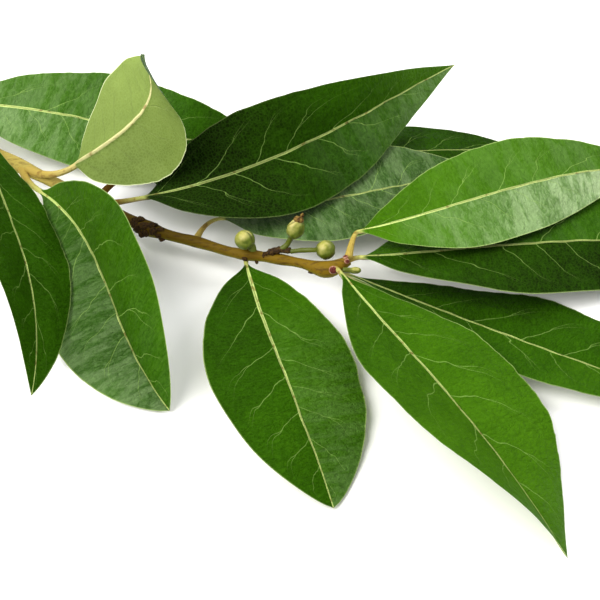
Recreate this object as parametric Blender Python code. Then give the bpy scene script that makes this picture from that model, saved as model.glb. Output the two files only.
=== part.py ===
"""A cut branch of bay laurel, lying on a table.

One woody twig carries twelve leathery leaves and four flower buds. The branch lies on the twig's
cut end and on the tips and margins of its lower leaves. X runs along the branch towards its
growing tip, Y runs to the back and Z is up. Lengths are in millimetres until a mesh is written.
"""

import math

import bmesh
import bpy
from mathutils import Vector

# ---------------------------------------------------------------- driving dimensions (mm, degrees)

MM = 0.001
TABLE_CENTRE = Vector((-8.9, 1.1, -0.05))  # the point below the branch's middle, made the origin
GAP = 0.4                                 # clear space between two pieces that touch on the real one

BLADE_THICKNESS = 0.4                     # at the blade's base
THINNING = 0.5                            # share of that thickness lost on the way to the tip
STALK_RADIUS = 0.9                        # of a leaf stalk where it leaves the twig
STALK_TAPER = 0.75                        # share of that radius left where the blade starts
STALK_SWEEP = 0.45                        # share of a stalk that turns into the blade's direction,
                                          # unless the leaf has a sweep of its own
FLATTENING = 0.10                         # share of the blade in which the round stalk flattens out
RIB_DEPTH = 1.0                           # how far the midrib stands below the blade at its base
RECURVE = 0.3                             # share of the fold that is lost on the way to the margin

GROWTH_STEPS = 48                         # steps in which a midrib is grown from base to tip
STALK_STATIONS = 4
BLADE_STATIONS = 15
EVEN_SHARE = 0.15                         # 1 spaces the blade's stations evenly, 0 crowds its ends
SHARP_ANGLE = 50.0                        # a leaf is shaded smooth except over sharper edges
LAST_STATION = 0.995                      # the blade stops just short of a needle-sharp tip
TOP_PLACES = (-1.0, -0.5, 0.0, 0.5, 1.0)  # across the blade, from the left to the right margin
STALK_CORNERS = 2 * len(TOP_PLACES)       # as many corners round the stalk as round the blade
SEARCH_STEPS = 200                        # in which the stalk's clear end is looked for
SHORTEST_STALK = 0.98                     # where a stalk that hardly leaves the twig starts
NUDGE = 0.01                              # a short way along a curve, to take its direction

TWIG_PATH = [
    (-124.0, 82.0, 2.0),
    (-112.0, 73.5, 3.0),
    (-100.0, 64.5, 3.6),
    (-85.0, 52.5, 4.5),
    (-67.5, 39.5, 5.5),
    (-55.0, 30.5, 6.4),
    (-40.0, 19.5, 7.0),
    (-26.0, 13.5, 7.5),
    (-17.5, 9.5, 8.0),
    (-10.0, 7.8, 8.2),
    (0.0, 5.0, 8.6),
    (7.0, 2.2, 9.0),
    (12.5, 4.5, 10.0),
]
TWIG_SPACING = 3.0                        # between the twig's cross-sections
TWIG_FINE_SPACING = 0.5                   # between the places where clearance is measured
TWIG_RADIUS_CUT_END = 1.9
TWIG_RADIUS_TIP = 1.1
# The twig swells at each joint with a leaf or a bud: place along X, extra radius, half length
SWELLINGS = [
    (-109.0, 0.30, 4.0),
    (-96.0, 0.30, 4.0),
    (-79.0, 0.45, 5.0),
    (-55.0, 0.30, 4.0),
    (-40.5, 0.70, 3.5),
    (-27.0, 0.20, 3.0),
    (-13.5, 0.35, 3.0),
    (-5.0, 0.25, 3.0),
    (7.0, 1.10, 4.0),
]

# Each leaf grows from a joint on the twig. node_x is the joint's place along X, and base is where
# the stalk becomes the blade. heading turns about Z from +X, rise lifts the tip and roll turns the
# blade about its midrib. Each has three values, at the base, half way and at the tip. fold lifts
# both halves above the midrib, and lean makes the right half wider than the left one.
LEAVES = {
    "leaf_rear_left": dict(
        node_x=-109.0, base=(-100.5, 70.0, 9.5), length=94, width=36, widest=0.49, taper=1.63,
        heading=(1, -11, 1), rise=(-1, -6, -5), roll=(-5, -11, -10), fold=3, lean=0.01,
        colour=(0.13, 0.22, 0.05)),
    "leaf_far_left": dict(
        node_x=-96.0, base=(-89.5, 56.5, 12.0), length=98, width=28, widest=0.51, taper=1.9,
        heading=(-78, -69, -96), rise=(4, -3, -18), roll=(53, 41, 56), fold=18, lean=0.10,
        colour=(0.02, 0.08, 0.01)),
    "leaf_raised": dict(
        node_x=-77.0, base=(-61.0, 37.5, 13.5), length=44, width=34, widest=0.57, taper=1.2,
        heading=(5, 11, -46), rise=(35, 48, 132), roll=(175, 149, 129), fold=1, lean=-0.10,
        colour=(0.31, 0.42, 0.10)),
    "leaf_front_left": dict(
        node_x=-78.0, base=(-71.5, 35.5, 6.5), length=85, width=41, widest=0.55, taper=1.89,
        heading=(-41, -69, -51), rise=(3, -3, -13), roll=(-49, -45, -37), fold=37, lean=-0.10,
        colour=(0.06, 0.17, 0.01)),
    "leaf_centre": dict(
        node_x=-54.0, base=(-42.0, 25.0, 13.0), length=109, width=32, widest=0.34, taper=1.9,
        heading=(2, 37, 49), rise=(12, 1, -13), roll=(17, -55, -59), fold=20, lean=0.06,
        colour=(0.03, 0.07, 0.005)),
    "leaf_rear_dark": dict(
        node_x=-55.5, base=(-44.5, 42.0, 7.0), length=108, width=34, widest=0.42, taper=1.16,
        heading=(7, 10, 5), rise=(1, -3, -5), roll=(0, 3, 3), fold=-3, lean=0.0,
        colour=(0.02, 0.07, 0.002)),
    "leaf_under_centre": dict(
        node_x=-27.5, base=(-21.0, 22.5, 8.0), length=78, width=35, widest=0.45, taper=1.66,
        heading=(14, 18, 15), rise=(-5, -1, -14), roll=(-2, -2, -2), fold=7, lean=-0.04,
        colour=(0.07, 0.12, 0.03)),
    "leaf_front_centre": dict(
        node_x=-13.5, base=(-14.0, 6.5, 7.0), length=77, width=37, widest=0.52, taper=1.68,
        heading=(-80, -72, -73), rise=(6, -4, -17), roll=(0, 8, 16), fold=-1, lean=0.0,
        colour=(0.02, 0.11, 0.002)),
    "leaf_right_top": dict(
        node_x=12.3, base=(15.0, 12.5, 12.5), length=91, width=31, widest=0.36, taper=1.9,
        heading=(12, 20, 26), rise=(7, 1, -32), roll=(21, -18, -40), fold=-10, lean=-0.09, sweep=0.15,
        colour=(0.14, 0.28, 0.03)),
    "leaf_right_middle": dict(
        node_x=11.0, base=(15.5, 6.6, 9.0), length=94, width=35, widest=0.51, taper=1.48,
        heading=(2, 9, 9), rise=(4, -4, -18), roll=(18, -6, -14), fold=-3, lean=-0.06,
        colour=(0.02, 0.06, 0.001)),
    "leaf_right_low": dict(
        node_x=8.0, base=(11.5, 4.2, 5.8), length=92, width=32, widest=0.60, taper=1.9,
        heading=(-21, -26, -25), rise=(-10, -2, 1), roll=(34, 11, 14), fold=11, lean=-0.07,
        colour=(0.02, 0.06, 0.002)),
    "leaf_front_right": dict(
        node_x=7.5, base=(10.0, 0.0, 10.5), length=96, width=44, widest=0.55, taper=1.9,
        heading=(-58, -60, -56), rise=(-5, 1, -29), roll=(29, 22, 56), fold=16, lean=0.01,
        colour=(0.05, 0.17, 0.005)),
}

# Each bud is a round head on a stalk: the stalk's foot, the point it bends towards, the middle of
# the head, the head's radius and half length, and the stalk's radius
BUDS = {
    "bud_left": dict(
        foot=(-12.2, 7.6, 10.6), bend=(-12.2, 8.0, 11.6), head=(-14.2, 8.9, 13.1),
        radius=2.6, half_length=2.6, stalk=1.1),
    "bud_upper": dict(
        foot=(-5.5, 7.6, 10.8), bend=(-2.6, 7.8, 11.5), head=(-1.1, 9.6, 16.2),
        radius=2.25, half_length=2.8, stalk=0.75),
    "bud_side": dict(
        foot=(-2.4, 6.9, 10.9), bend=(-1.0, 6.8, 11.4), head=(6.6, 6.5, 11.8),
        radius=2.5, half_length=2.5, stalk=0.6),
    "bud_end": dict(
        foot=(11.0, 1.3, 9.6), bend=(12.0, 1.2, 9.8), head=(14.2, 1.2, 9.6),
        radius=0.9, half_length=1.5, stalk=0.7),
}
TUBE_SIDES = 10                           # of the twig, the buds and their stalks
BUD_STALK_STATIONS = 5
BUD_STALK_SHARE = 0.5                     # of the way to the head's middle that the stalk runs
BUD_HEAD_STATIONS = 9
BUD_TIP_ANGLE = 78.0                      # how far up the head's profile its flat tip lies
BUD_NECK = 1.1                            # how much wider than its stalk the head starts
BUD_STATION_STEP = 0.1                    # closer cross-sections than this are left out
BUD_COLOUR = (0.36, 0.40, 0.06)
TWIG_COLOUR = (0.22, 0.16, 0.04)
LEAF_ROUGHNESS = 0.4
BUD_ROUGHNESS = 0.5
TWIG_ROUGHNESS = 0.7


# ---------------------------------------------------------------------------------------- the twig

def smooth_path(points, spacing):
    """Points at even distances along a smooth line through the given ones."""
    corners = [Vector(p) for p in points]
    line = []
    for i in range(len(corners) - 1):
        before = corners[max(i - 1, 0)]
        start = corners[i]
        end = corners[i + 1]
        after = corners[min(i + 2, len(corners) - 1)]
        count = max(2, round((end - start).length / spacing))
        for k in range(count):
            t = k / count
            line.append(0.5 * (2 * start
                               + (end - before) * t
                               + (2 * before - 5 * start + 4 * end - after) * t * t
                               + (3 * start - 3 * end + after - before) * t ** 3))
    line.append(corners[-1])
    return line


def twig_radius(x):
    """The twig's radius at a place along X: an even taper with a swelling at each joint."""
    first = TWIG_PATH[0][0]
    last = TWIG_PATH[-1][0]
    share = (x - first) / (last - first)
    radius = TWIG_RADIUS_CUT_END + (TWIG_RADIUS_TIP - TWIG_RADIUS_CUT_END) * share
    for place, extra, half_length in SWELLINGS:
        radius += extra * math.exp(-((x - place) / half_length) ** 2)
    return radius


def twig_point(x):
    """The point of the twig's middle line at a place along X."""
    for start, end in zip(TWIG_LINE, TWIG_LINE[1:]):
        if start.x <= x <= end.x:
            return start.lerp(end, (x - start.x) / (end.x - start.x))
    raise ValueError("no twig at that place")


TWIG_LINE = smooth_path(TWIG_PATH, TWIG_SPACING)
TWIG_LINE_FINE = smooth_path(TWIG_PATH, TWIG_FINE_SPACING)


# -------------------------------------------------------------------------------------- the leaves

def bend(values, u):
    """A smooth course through three values at the base, half way and at the tip."""
    base, middle, tip = values
    return base * (1 - u) * (1 - 2 * u) + 4 * middle * u * (1 - u) + tip * u * (2 * u - 1)


def growth_direction(leaf, u):
    """The way the midrib points at u, from its heading and its rise."""
    heading = math.radians(bend(leaf["heading"], u))
    rise = math.radians(bend(leaf["rise"], u))
    flat = math.cos(rise)
    return Vector((flat * math.cos(heading), flat * math.sin(heading), math.sin(rise)))


def blade_frame(leaf, u):
    """The blade's own right and up directions at u, after its roll."""
    forward = growth_direction(leaf, u)
    heading = math.radians(bend(leaf["heading"], u))
    level = Vector((math.sin(heading), -math.cos(heading), 0.0))
    upright = level.cross(forward)
    roll = math.radians(bend(leaf["roll"], u))
    right = level * math.cos(roll) + upright * math.sin(roll)
    up = upright * math.cos(roll) - level * math.sin(roll)
    return right, up


def grow_midrib(leaf):
    """The midrib's points from base to tip, one for each growth step."""
    point = Vector(leaf["base"])
    points = [point.copy()]
    for k in range(GROWTH_STEPS):
        step = growth_direction(leaf, (k + 0.5) / GROWTH_STEPS)
        point += step * (leaf["length"] / GROWTH_STEPS)
        points.append(point.copy())
    return points


def half_width(leaf, u):
    """Half of the blade's width at u: nothing at the base, widest in the middle, a pointed tip."""
    widest = leaf["widest"]
    taper = leaf["taper"]
    rising = (u / widest) ** (widest * taper)
    falling = ((1 - u) / (1 - widest)) ** ((1 - widest) * taper)
    return leaf["width"] / 2 * rising * falling


def stalk_curve(leaf):
    """A curve from the twig's middle line to the blade, which it meets in the blade's direction."""
    start = twig_point(leaf["node_x"])
    end = Vector(leaf["base"])
    sweep = leaf.get("sweep", STALK_SWEEP)
    corner = end - growth_direction(leaf, 0.0) * (end - start).length * sweep

    def at(t):
        return start * (1 - t) ** 2 + corner * 2 * t * (1 - t) + end * t * t

    return at


def direction_at(curve, t):
    return (curve(t + NUDGE) - curve(t)).normalized()


def clear_of_twig(curve, radius):
    """How far along a stalk's curve its round end is just clear of the twig."""
    for k in range(1, SEARCH_STEPS):
        t = k / SEARCH_STEPS
        point = curve(t)
        nearest = min(TWIG_LINE_FINE, key=lambda p: (p - point).length)
        outward = point - nearest
        slant = outward.normalized().cross(direction_at(curve, t)).length
        if outward.length > twig_radius(nearest.x) + GAP + radius * slant:
            return t
    return SHORTEST_STALK


def ring(centre, right, up, leaf, u, roundness):
    """The outline of a leaf's cross-section: round in the stalk, thin and folded in the blade."""
    half = half_width(leaf, u) if 0 < u < 1 else 0.0
    radius = STALK_RADIUS * (1 - (1 - STALK_TAPER) * min(1.0, 2 - roundness))
    points = []
    for side, places in ((1, TOP_PLACES), (-1, TOP_PLACES[::-1])):
        for place in places:
            lean = leaf["lean"] if place > 0 else -leaf["lean"]
            width = place * half * (1 + lean)
            fold = math.radians(leaf["fold"]) * (1 - RECURVE * abs(place))
            across = width * math.cos(fold)
            high = abs(width) * math.sin(fold)
            if side < 0:
                rib = RIB_DEPTH * (1 - u) if place == 0 else 0.0
                high -= BLADE_THICKNESS * (1 - THINNING * u) + rib
            angle = side * math.radians(90 - place * (90 - 180 / STALK_CORNERS))
            flat = right * across + up * high
            round_ = right * (radius * math.cos(angle)) + up * (radius * math.sin(angle))
            points.append(centre + flat * (1 - roundness) + round_ * roundness)
    return points


def leaf_rings(leaf):
    """Cross-sections along a leaf, from the end of its stalk by the twig to its tip."""
    rings = []
    curve = stalk_curve(leaf)
    start = clear_of_twig(curve, STALK_RADIUS)
    blade_right, _ = blade_frame(leaf, 0.0)
    for k in range(STALK_STATIONS):
        t = start + (1 - start) * k / STALK_STATIONS
        along = direction_at(curve, t)
        right = (blade_right - along * blade_right.dot(along)).normalized()
        rings.append(ring(curve(t), right, right.cross(along), leaf, 0.0, 1.0))
    midrib = grow_midrib(leaf)
    for k in range(BLADE_STATIONS):
        even = k / (BLADE_STATIONS - 1)
        crowded = (1 - math.cos(math.pi * even)) / 2
        u = min(crowded * (1 - EVEN_SHARE) + even * EVEN_SHARE, LAST_STATION)
        step, part = divmod(u * GROWTH_STEPS, 1)
        centre = midrib[int(step)].lerp(midrib[int(step) + 1], part)
        right, up = blade_frame(leaf, u)
        roundness = max(0.0, 1 - u / FLATTENING) ** 2
        rings.append(ring(centre, right, up, leaf, u, roundness))
    return rings


def loft(name, rings):
    """A closed skin over a row of rings that have the same number of points."""
    skin = bmesh.new()
    rows = [[skin.verts.new(p * MM) for p in points] for points in rings]
    for row, following in zip(rows, rows[1:]):
        for k in range(len(row)):
            j = (k + 1) % len(row)
            skin.faces.new((row[k], row[j], following[j], following[k]))
    skin.faces.new(rows[0])
    skin.faces.new(rows[-1])
    bmesh.ops.triangulate(skin, faces=skin.faces[:])
    bmesh.ops.recalc_face_normals(skin, faces=skin.faces[:])
    mesh = bpy.data.meshes.new(name)
    skin.to_mesh(mesh)
    skin.free()
    mesh.shade_smooth()
    mesh.set_sharp_from_angle(angle=math.radians(SHARP_ANGLE))
    return bpy.data.objects.new(name, mesh)


# ---------------------------------------------------------------------------------- tubes and buds

def tube(name, points, radii):
    """A filled tube through the points, with its own radius at each one."""
    curve = bpy.data.curves.new(name, "CURVE")
    curve.dimensions = "3D"
    curve.bevel_depth = MM
    curve.bevel_resolution = TUBE_SIDES // 2 - 2
    curve.use_fill_caps = True
    spline = curve.splines.new("POLY")
    spline.points.add(len(points) - 1)
    for knot, point, radius in zip(spline.points, points, radii):
        knot.co = (*(point * MM), 1.0)
        knot.radius = radius
    return bpy.data.objects.new(name, curve)


def make_twig():
    return tube("twig", TWIG_LINE, [twig_radius(p.x) for p in TWIG_LINE])


def make_bud(name, bud):
    """A bud as one tube: along the bent stalk, then over the round profile of the head."""
    foot = Vector(bud["foot"])
    corner = Vector(bud["bend"])
    head = Vector(bud["head"])
    points = []
    radii = []
    for k in range(BUD_STALK_STATIONS):
        t = BUD_STALK_SHARE * k / (BUD_STALK_STATIONS - 1)
        points.append(foot * (1 - t) ** 2 + corner * 2 * t * (1 - t) + head * t * t)
        radii.append(bud["stalk"])
    forward = (head - points[-1]).normalized()
    neck_angle = -math.acos(BUD_NECK * bud["stalk"] / bud["radius"])
    tip_angle = math.radians(BUD_TIP_ANGLE)
    for k in range(BUD_HEAD_STATIONS):
        angle = neck_angle + (tip_angle - neck_angle) * k / (BUD_HEAD_STATIONS - 1)
        point = head + forward * bud["half_length"] * math.sin(angle)
        if (point - points[-1]).dot(forward) > BUD_STATION_STEP:
            points.append(point)
            radii.append(bud["radius"] * math.cos(angle))
    return tube(name, points, radii)


# --------------------------------------------------------------------------------------- the parts

def finish(obj, collection, colour, roughness):
    """Puts a piece at its place in the branch's collection and gives it its own material."""
    obj.location = -TABLE_CENTRE * MM
    collection.objects.link(obj)
    material = bpy.data.materials.new(obj.name)
    material.use_nodes = True
    shader = material.node_tree.nodes["Principled BSDF"]
    shader.inputs["Base Color"].default_value = (*colour, 1.0)
    shader.inputs["Roughness"].default_value = roughness
    shader.inputs["Metallic"].default_value = 0.0
    obj.data.materials.append(material)


def main():
    for old in list(bpy.data.objects):
        bpy.data.objects.remove(old, do_unlink=True)
    branch = bpy.data.collections.new("bay_leaf_branch")
    bpy.context.scene.collection.children.link(branch)
    finish(make_twig(), branch, TWIG_COLOUR, TWIG_ROUGHNESS)
    for name, leaf in LEAVES.items():
        finish(loft(name, leaf_rings(leaf)), branch, leaf["colour"], LEAF_ROUGHNESS)
    for name, bud in BUDS.items():
        finish(make_bud(name, bud), branch, BUD_COLOUR, BUD_ROUGHNESS)


main()
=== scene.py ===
# %% [markdown]
# # A cut branch of bay laurel
#
# A bay branch is one woody twig that carries leathery evergreen leaves and, in late winter, small
# round flower buds. This lesson dresses a plain, measured model of the branch, the frame, with
# pieces that look grown: leaves with veins, a twig with bark, and buds wrapped in bracts. Each new
# piece stands for one piece of the frame and keeps to its place and size.

# %% Load the frame and keep its size
import math

import bpy
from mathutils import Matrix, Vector


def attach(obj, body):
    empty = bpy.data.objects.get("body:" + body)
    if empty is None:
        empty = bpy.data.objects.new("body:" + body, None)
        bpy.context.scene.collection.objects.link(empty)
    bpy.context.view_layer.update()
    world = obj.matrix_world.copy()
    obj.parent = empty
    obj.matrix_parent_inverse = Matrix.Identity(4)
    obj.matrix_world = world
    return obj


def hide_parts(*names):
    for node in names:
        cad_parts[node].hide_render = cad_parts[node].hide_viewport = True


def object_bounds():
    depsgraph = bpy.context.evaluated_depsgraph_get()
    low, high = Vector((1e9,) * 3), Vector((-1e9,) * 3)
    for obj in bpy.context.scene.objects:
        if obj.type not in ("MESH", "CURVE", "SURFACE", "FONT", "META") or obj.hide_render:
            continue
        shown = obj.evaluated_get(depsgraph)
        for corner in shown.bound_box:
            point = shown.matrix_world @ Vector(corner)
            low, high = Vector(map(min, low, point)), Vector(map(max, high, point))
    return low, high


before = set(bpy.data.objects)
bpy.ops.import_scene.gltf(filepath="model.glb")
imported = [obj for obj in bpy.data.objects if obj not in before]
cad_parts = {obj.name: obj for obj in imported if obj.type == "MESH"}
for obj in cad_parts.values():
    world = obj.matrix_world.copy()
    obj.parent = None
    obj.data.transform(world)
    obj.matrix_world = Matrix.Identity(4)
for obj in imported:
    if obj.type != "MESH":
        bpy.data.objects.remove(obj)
CAD_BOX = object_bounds()
print("frame pieces:", sorted(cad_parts))

# %% [markdown]
# ## Two small helpers
#
# Colours are written the way a paint chart gives them, as sRGB hex values, and Blender's shaders
# want linear light. Node trees for shapes and for finishes are both written out with one helper,
# which adds a node, sets it up and links what feeds it, so that each line reads as one step.

# %% Helpers
MM = 0.001


def linear(colour):
    """A colour like '#2f5c14' as linear red, green, blue and alpha."""
    parts = [int(colour[k:k + 2], 16) / 255 for k in (1, 3, 5)]
    return tuple(c / 12.92 if c <= 0.04045 else ((c + 0.055) / 1.055) ** 2.4 for c in parts) + (1.0,)


def add(tree, kind, feeds=None, **settings):
    """Adds a node with its settings. feeds gives an input's value, or the node or socket behind it."""
    node = tree.nodes.new(kind)
    for name, value in settings.items():
        setattr(node, name, value)
    for key, source in (feeds or {}).items():
        if isinstance(source, bpy.types.Node):
            source = source.outputs[0]
        if isinstance(source, bpy.types.NodeSocket):
            tree.links.new(source, node.inputs[key])
        else:
            node.inputs[key].default_value = source
    return node


print("a bay green in linear light:", linear("#2f5c14"))

# %% [markdown]
# ## Camera, table and light
#
# The branch is looked down on at 46 degrees with a long lens, as in a catalogue picture. The table
# is plain white and glows a little from below, as a light table does. The main light is a broad
# soft window at the front left, a smaller one at the back opens up the far leaves, and a weak lamp
# at the right lifts the edges that face it. The pale sky and the glow fill the shadows.

# %% Camera
LOOK_AT = Vector((8.9, -1.1, 0.05)) * MM
CAMERA_RISE = math.radians(46)
CAMERA_DISTANCE = 368 * MM
LENS = 85

camera_data = bpy.data.cameras.new("camera")
camera_data.lens = LENS
camera_data.clip_start = 0.01
camera = bpy.data.objects.new("camera", camera_data)
bpy.context.scene.collection.objects.link(camera)
backwards = Vector((0, -math.cos(CAMERA_RISE), math.sin(CAMERA_RISE)))
camera.location = LOOK_AT + backwards * CAMERA_DISTANCE
camera.rotation_euler = (math.pi / 2 - CAMERA_RISE, 0, 0)
bpy.context.scene.camera = camera
print("camera at", [round(c / MM) for c in camera.location], "mm")

# %% Table
TABLE_HALF = 3.0        # m, half of the table's side
TABLE_GAP = 0.02 * MM   # between the table and the lowest leaf
TABLE_GLOW = 0.08

table_mesh = bpy.data.meshes.new("table")
table_mesh.from_pydata(
    [(-TABLE_HALF, -TABLE_HALF, 0), (TABLE_HALF, -TABLE_HALF, 0),
     (TABLE_HALF, TABLE_HALF, 0), (-TABLE_HALF, TABLE_HALF, 0)], [], [(0, 1, 2, 3)])
table = bpy.data.objects.new("table", table_mesh)
bpy.context.scene.collection.objects.link(table)
table.location.z = CAD_BOX[0][2] - TABLE_GAP

table_paint = bpy.data.materials.new("table, matt white acrylic lit from below")
table_paint.use_nodes = True
table_shader = table_paint.node_tree.nodes["Principled BSDF"]
table_shader.inputs["Base Color"].default_value = linear("#f4f4f4")
table_shader.inputs["Roughness"].default_value = 0.9
table_shader.inputs["Specular IOR Level"].default_value = 0.1
table_shader.inputs["Emission Color"].default_value = linear("#ffffff")
table_shader.inputs["Emission Strength"].default_value = TABLE_GLOW
table_mesh.materials.append(table_paint)
print("table top at", round(table.location.z / MM, 2), "mm")

# %% Lights
SKY_STRENGTH = 0.60
# Places and sizes are in metres and powers in watts
LIGHTS = {
    "front window": dict(place=(-0.62, -0.25, 0.80), size=0.90, power=16.4, colour="#fffdf8"),
    "back window": dict(place=(0.20, 0.62, 0.78), size=0.60, power=3.8, colour="#ffffff"),
    "side lamp": dict(place=(0.70, 0.20, 0.65), size=0.40, power=2.5, colour="#ffffff"),
}
for name, light in LIGHTS.items():
    lamp = bpy.data.lights.new(name, "AREA")
    lamp.shape = "DISK"
    lamp.size = light["size"]
    lamp.energy = light["power"]
    lamp.color = linear(light["colour"])[:3]
    holder = bpy.data.objects.new(name, lamp)
    bpy.context.scene.collection.objects.link(holder)
    holder.location = light["place"]
    holder.rotation_euler = (LOOK_AT - holder.location).to_track_quat("-Z", "Y").to_euler()

sky = bpy.data.worlds.new("pale studio")
sky.use_nodes = True
sky.node_tree.nodes["Background"].inputs["Color"].default_value = linear("#ffffff")
sky.node_tree.nodes["Background"].inputs["Strength"].default_value = SKY_STRENGTH
bpy.context.scene.world = sky
bpy.context.scene.view_settings.view_transform = "Standard"
print("lights:", ", ".join(LIGHTS))

# %% [markdown]
# ## The line of the twig
#
# The twig was cut below its oldest leaf and lies on the table on that cut end. Its middle line is
# a smooth curve through a few points. It tapers towards the growing tip and swells wherever a leaf
# or a bud leaves it. Every leaf stalk starts on this line, so it comes first.

# %% Twig line
# All places are in mm. They are measured from a point near the middle of the twig, on the table, and
# TABLE_CENTRE is where the frame's origin lies as seen from there.
TABLE_CENTRE = Vector((-8.9, 1.1, -0.05))
TWIG_PATH = [
    (-124.0, 82.0, 2.0),
    (-112.0, 73.5, 3.0),
    (-100.0, 64.5, 3.6),
    (-85.0, 52.5, 4.5),
    (-67.5, 39.5, 5.5),
    (-55.0, 30.5, 6.4),
    (-40.0, 19.5, 7.0),
    (-26.0, 13.5, 7.5),
    (-17.5, 9.5, 8.0),
    (-10.0, 7.8, 8.2),
    (0.0, 5.0, 8.6),
    (7.0, 2.2, 9.0),
    (12.5, 4.5, 10.0),
]
TWIG_SPACING = 0.8
TWIG_RADIUS_CUT_END = 1.9
TWIG_RADIUS_TIP = 1.1
# Each swelling: its place along X, its extra radius, and half of its length
SWELLINGS = [
    (-109.0, 0.30, 4.0),
    (-96.0, 0.30, 4.0),
    (-79.0, 0.45, 5.0),
    (-55.0, 0.30, 4.0),
    (-40.5, 0.70, 3.5),
    (-27.0, 0.20, 3.0),
    (-13.5, 0.35, 3.0),
    (-5.0, 0.25, 3.0),
    (7.0, 1.10, 4.0),
]


def smooth_path(points, spacing):
    """Points at even distances along a smooth line through the given ones."""
    corners = [Vector(p) for p in points]
    line = []
    for i in range(len(corners) - 1):
        before = corners[max(i - 1, 0)]
        start = corners[i]
        end = corners[i + 1]
        after = corners[min(i + 2, len(corners) - 1)]
        count = max(2, round((end - start).length / spacing))
        for k in range(count):
            t = k / count
            line.append(0.5 * (2 * start
                               + (end - before) * t
                               + (2 * before - 5 * start + 4 * end - after) * t * t
                               + (3 * start - 3 * end + after - before) * t ** 3))
    line.append(corners[-1])
    return line


def twig_radius(x):
    """The twig's radius at a place along X: an even taper with a swelling at each joint."""
    share = (x - TWIG_PATH[0][0]) / (TWIG_PATH[-1][0] - TWIG_PATH[0][0])
    radius = TWIG_RADIUS_CUT_END + (TWIG_RADIUS_TIP - TWIG_RADIUS_CUT_END) * share
    return radius + sum(extra * math.exp(-((x - place) / half) ** 2)
                        for place, extra, half in SWELLINGS)


def twig_point(x):
    """The point of the twig's middle line at a place along X."""
    for start, end in zip(TWIG_LINE, TWIG_LINE[1:]):
        if start.x <= x <= end.x:
            return start.lerp(end, (x - start.x) / (end.x - start.x))
    raise ValueError("no twig at that place")


TWIG_LINE = smooth_path(TWIG_PATH, TWIG_SPACING)
print("twig:", len(TWIG_LINE), "points on its middle line")

# %% [markdown]
# ## How a bay leaf grows
#
# A leaf is a stalk that turns into a midrib, with a thin blade on both sides. Its midrib can be
# described by three angles that change slowly from base to tip: the heading it points in, its rise
# above the table, and the roll of the blade about it. Growing the midrib step by step along those
# angles gives a natural curve from very few numbers. Each leaf here has its own angles, length and
# width, and all twelve share one rule.

# %% Leaf sizes
# Each leaf leaves the twig at node_x, and its blade starts at base. heading, rise and roll are in
# degrees, at the base, half way and at the tip. fold lifts both halves above the midrib, and lean
# makes the right half wider than the left one. stalk is the stalk's radius, and sweep is there
# where a stalk has its own STALK_SWEEP.
LEAVES = {
    "leaf_rear_left": dict(
        node_x=-109.0, base=(-100.5, 70.0, 9.5), length=94, width=36, widest=0.49, taper=1.63,
        heading=(1, -11, 1), rise=(-1, -6, -5), roll=(-5, -11, -10), fold=3, lean=0.01, stalk=0.9),
    "leaf_far_left": dict(
        node_x=-96.0, base=(-89.5, 56.5, 12.0), length=98, width=28, widest=0.51, taper=1.9,
        heading=(-78, -69, -96), rise=(4, -3, -18), roll=(53, 41, 56), fold=18, lean=0.10, stalk=0.9),
    "leaf_raised": dict(
        node_x=-77.0, base=(-61.0, 37.5, 13.5), length=44, width=34, widest=0.57, taper=1.2,
        heading=(5, 11, -46), rise=(35, 48, 132), roll=(175, 149, 129), fold=1, lean=-0.10, stalk=1.0),
    "leaf_front_left": dict(
        node_x=-78.0, base=(-71.5, 35.5, 6.5), length=85, width=41, widest=0.55, taper=1.89,
        heading=(-41, -69, -51), rise=(3, -3, -13), roll=(-49, -45, -37), fold=37, lean=-0.10, stalk=0.95),
    "leaf_centre": dict(
        node_x=-54.0, base=(-42.0, 25.0, 13.0), length=109, width=32, widest=0.34, taper=1.9,
        heading=(2, 37, 49), rise=(12, 1, -13), roll=(17, -55, -59), fold=20, lean=0.06, stalk=0.8),
    "leaf_rear_dark": dict(
        node_x=-55.5, base=(-44.5, 42.0, 7.0), length=108, width=34, widest=0.42, taper=1.16,
        heading=(7, 10, 5), rise=(1, -3, -5), roll=(0, 3, 3), fold=-3, lean=0.0, stalk=0.8),
    "leaf_under_centre": dict(
        node_x=-27.5, base=(-21.0, 22.5, 8.0), length=78, width=35, widest=0.45, taper=1.66,
        heading=(14, 18, 15), rise=(-5, -1, -14), roll=(-2, -2, -2), fold=7, lean=-0.04, stalk=0.6),
    "leaf_front_centre": dict(
        node_x=-13.5, base=(-14.0, 6.5, 7.0), length=77, width=37, widest=0.52, taper=1.68,
        heading=(-80, -72, -73), rise=(6, -4, -17), roll=(0, 8, 16), fold=-1, lean=0.0, stalk=0.7),
    "leaf_right_top": dict(
        node_x=12.3, base=(15.0, 12.5, 12.5), length=91, width=31, widest=0.36, taper=1.9,
        heading=(12, 20, 26), rise=(7, 1, -32), roll=(21, -18, -40), fold=-10, lean=-0.09,
        sweep=0.15, stalk=0.7),
    "leaf_right_middle": dict(
        node_x=11.0, base=(15.5, 6.6, 9.0), length=94, width=35, widest=0.51, taper=1.48,
        heading=(2, 9, 9), rise=(4, -4, -18), roll=(18, -6, -14), fold=-3, lean=-0.06, stalk=0.75),
    "leaf_right_low": dict(
        node_x=8.0, base=(11.5, 4.2, 5.8), length=92, width=32, widest=0.60, taper=1.9,
        heading=(-21, -26, -25), rise=(-10, -2, 1), roll=(34, 11, 14), fold=11, lean=-0.07, stalk=0.6),
    "leaf_front_right": dict(
        node_x=7.5, base=(10.0, 0.0, 10.5), length=96, width=44, widest=0.55, taper=1.9,
        heading=(-58, -60, -56), rise=(-5, 1, -29), roll=(29, 22, 56), fold=16, lean=0.01, stalk=0.75),
}
GROWTH_STEPS = 64
STALK_STEPS = 16
STALK_SWEEP = 0.45      # how far a stalk runs in the blade's direction, as a share of its length
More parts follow.
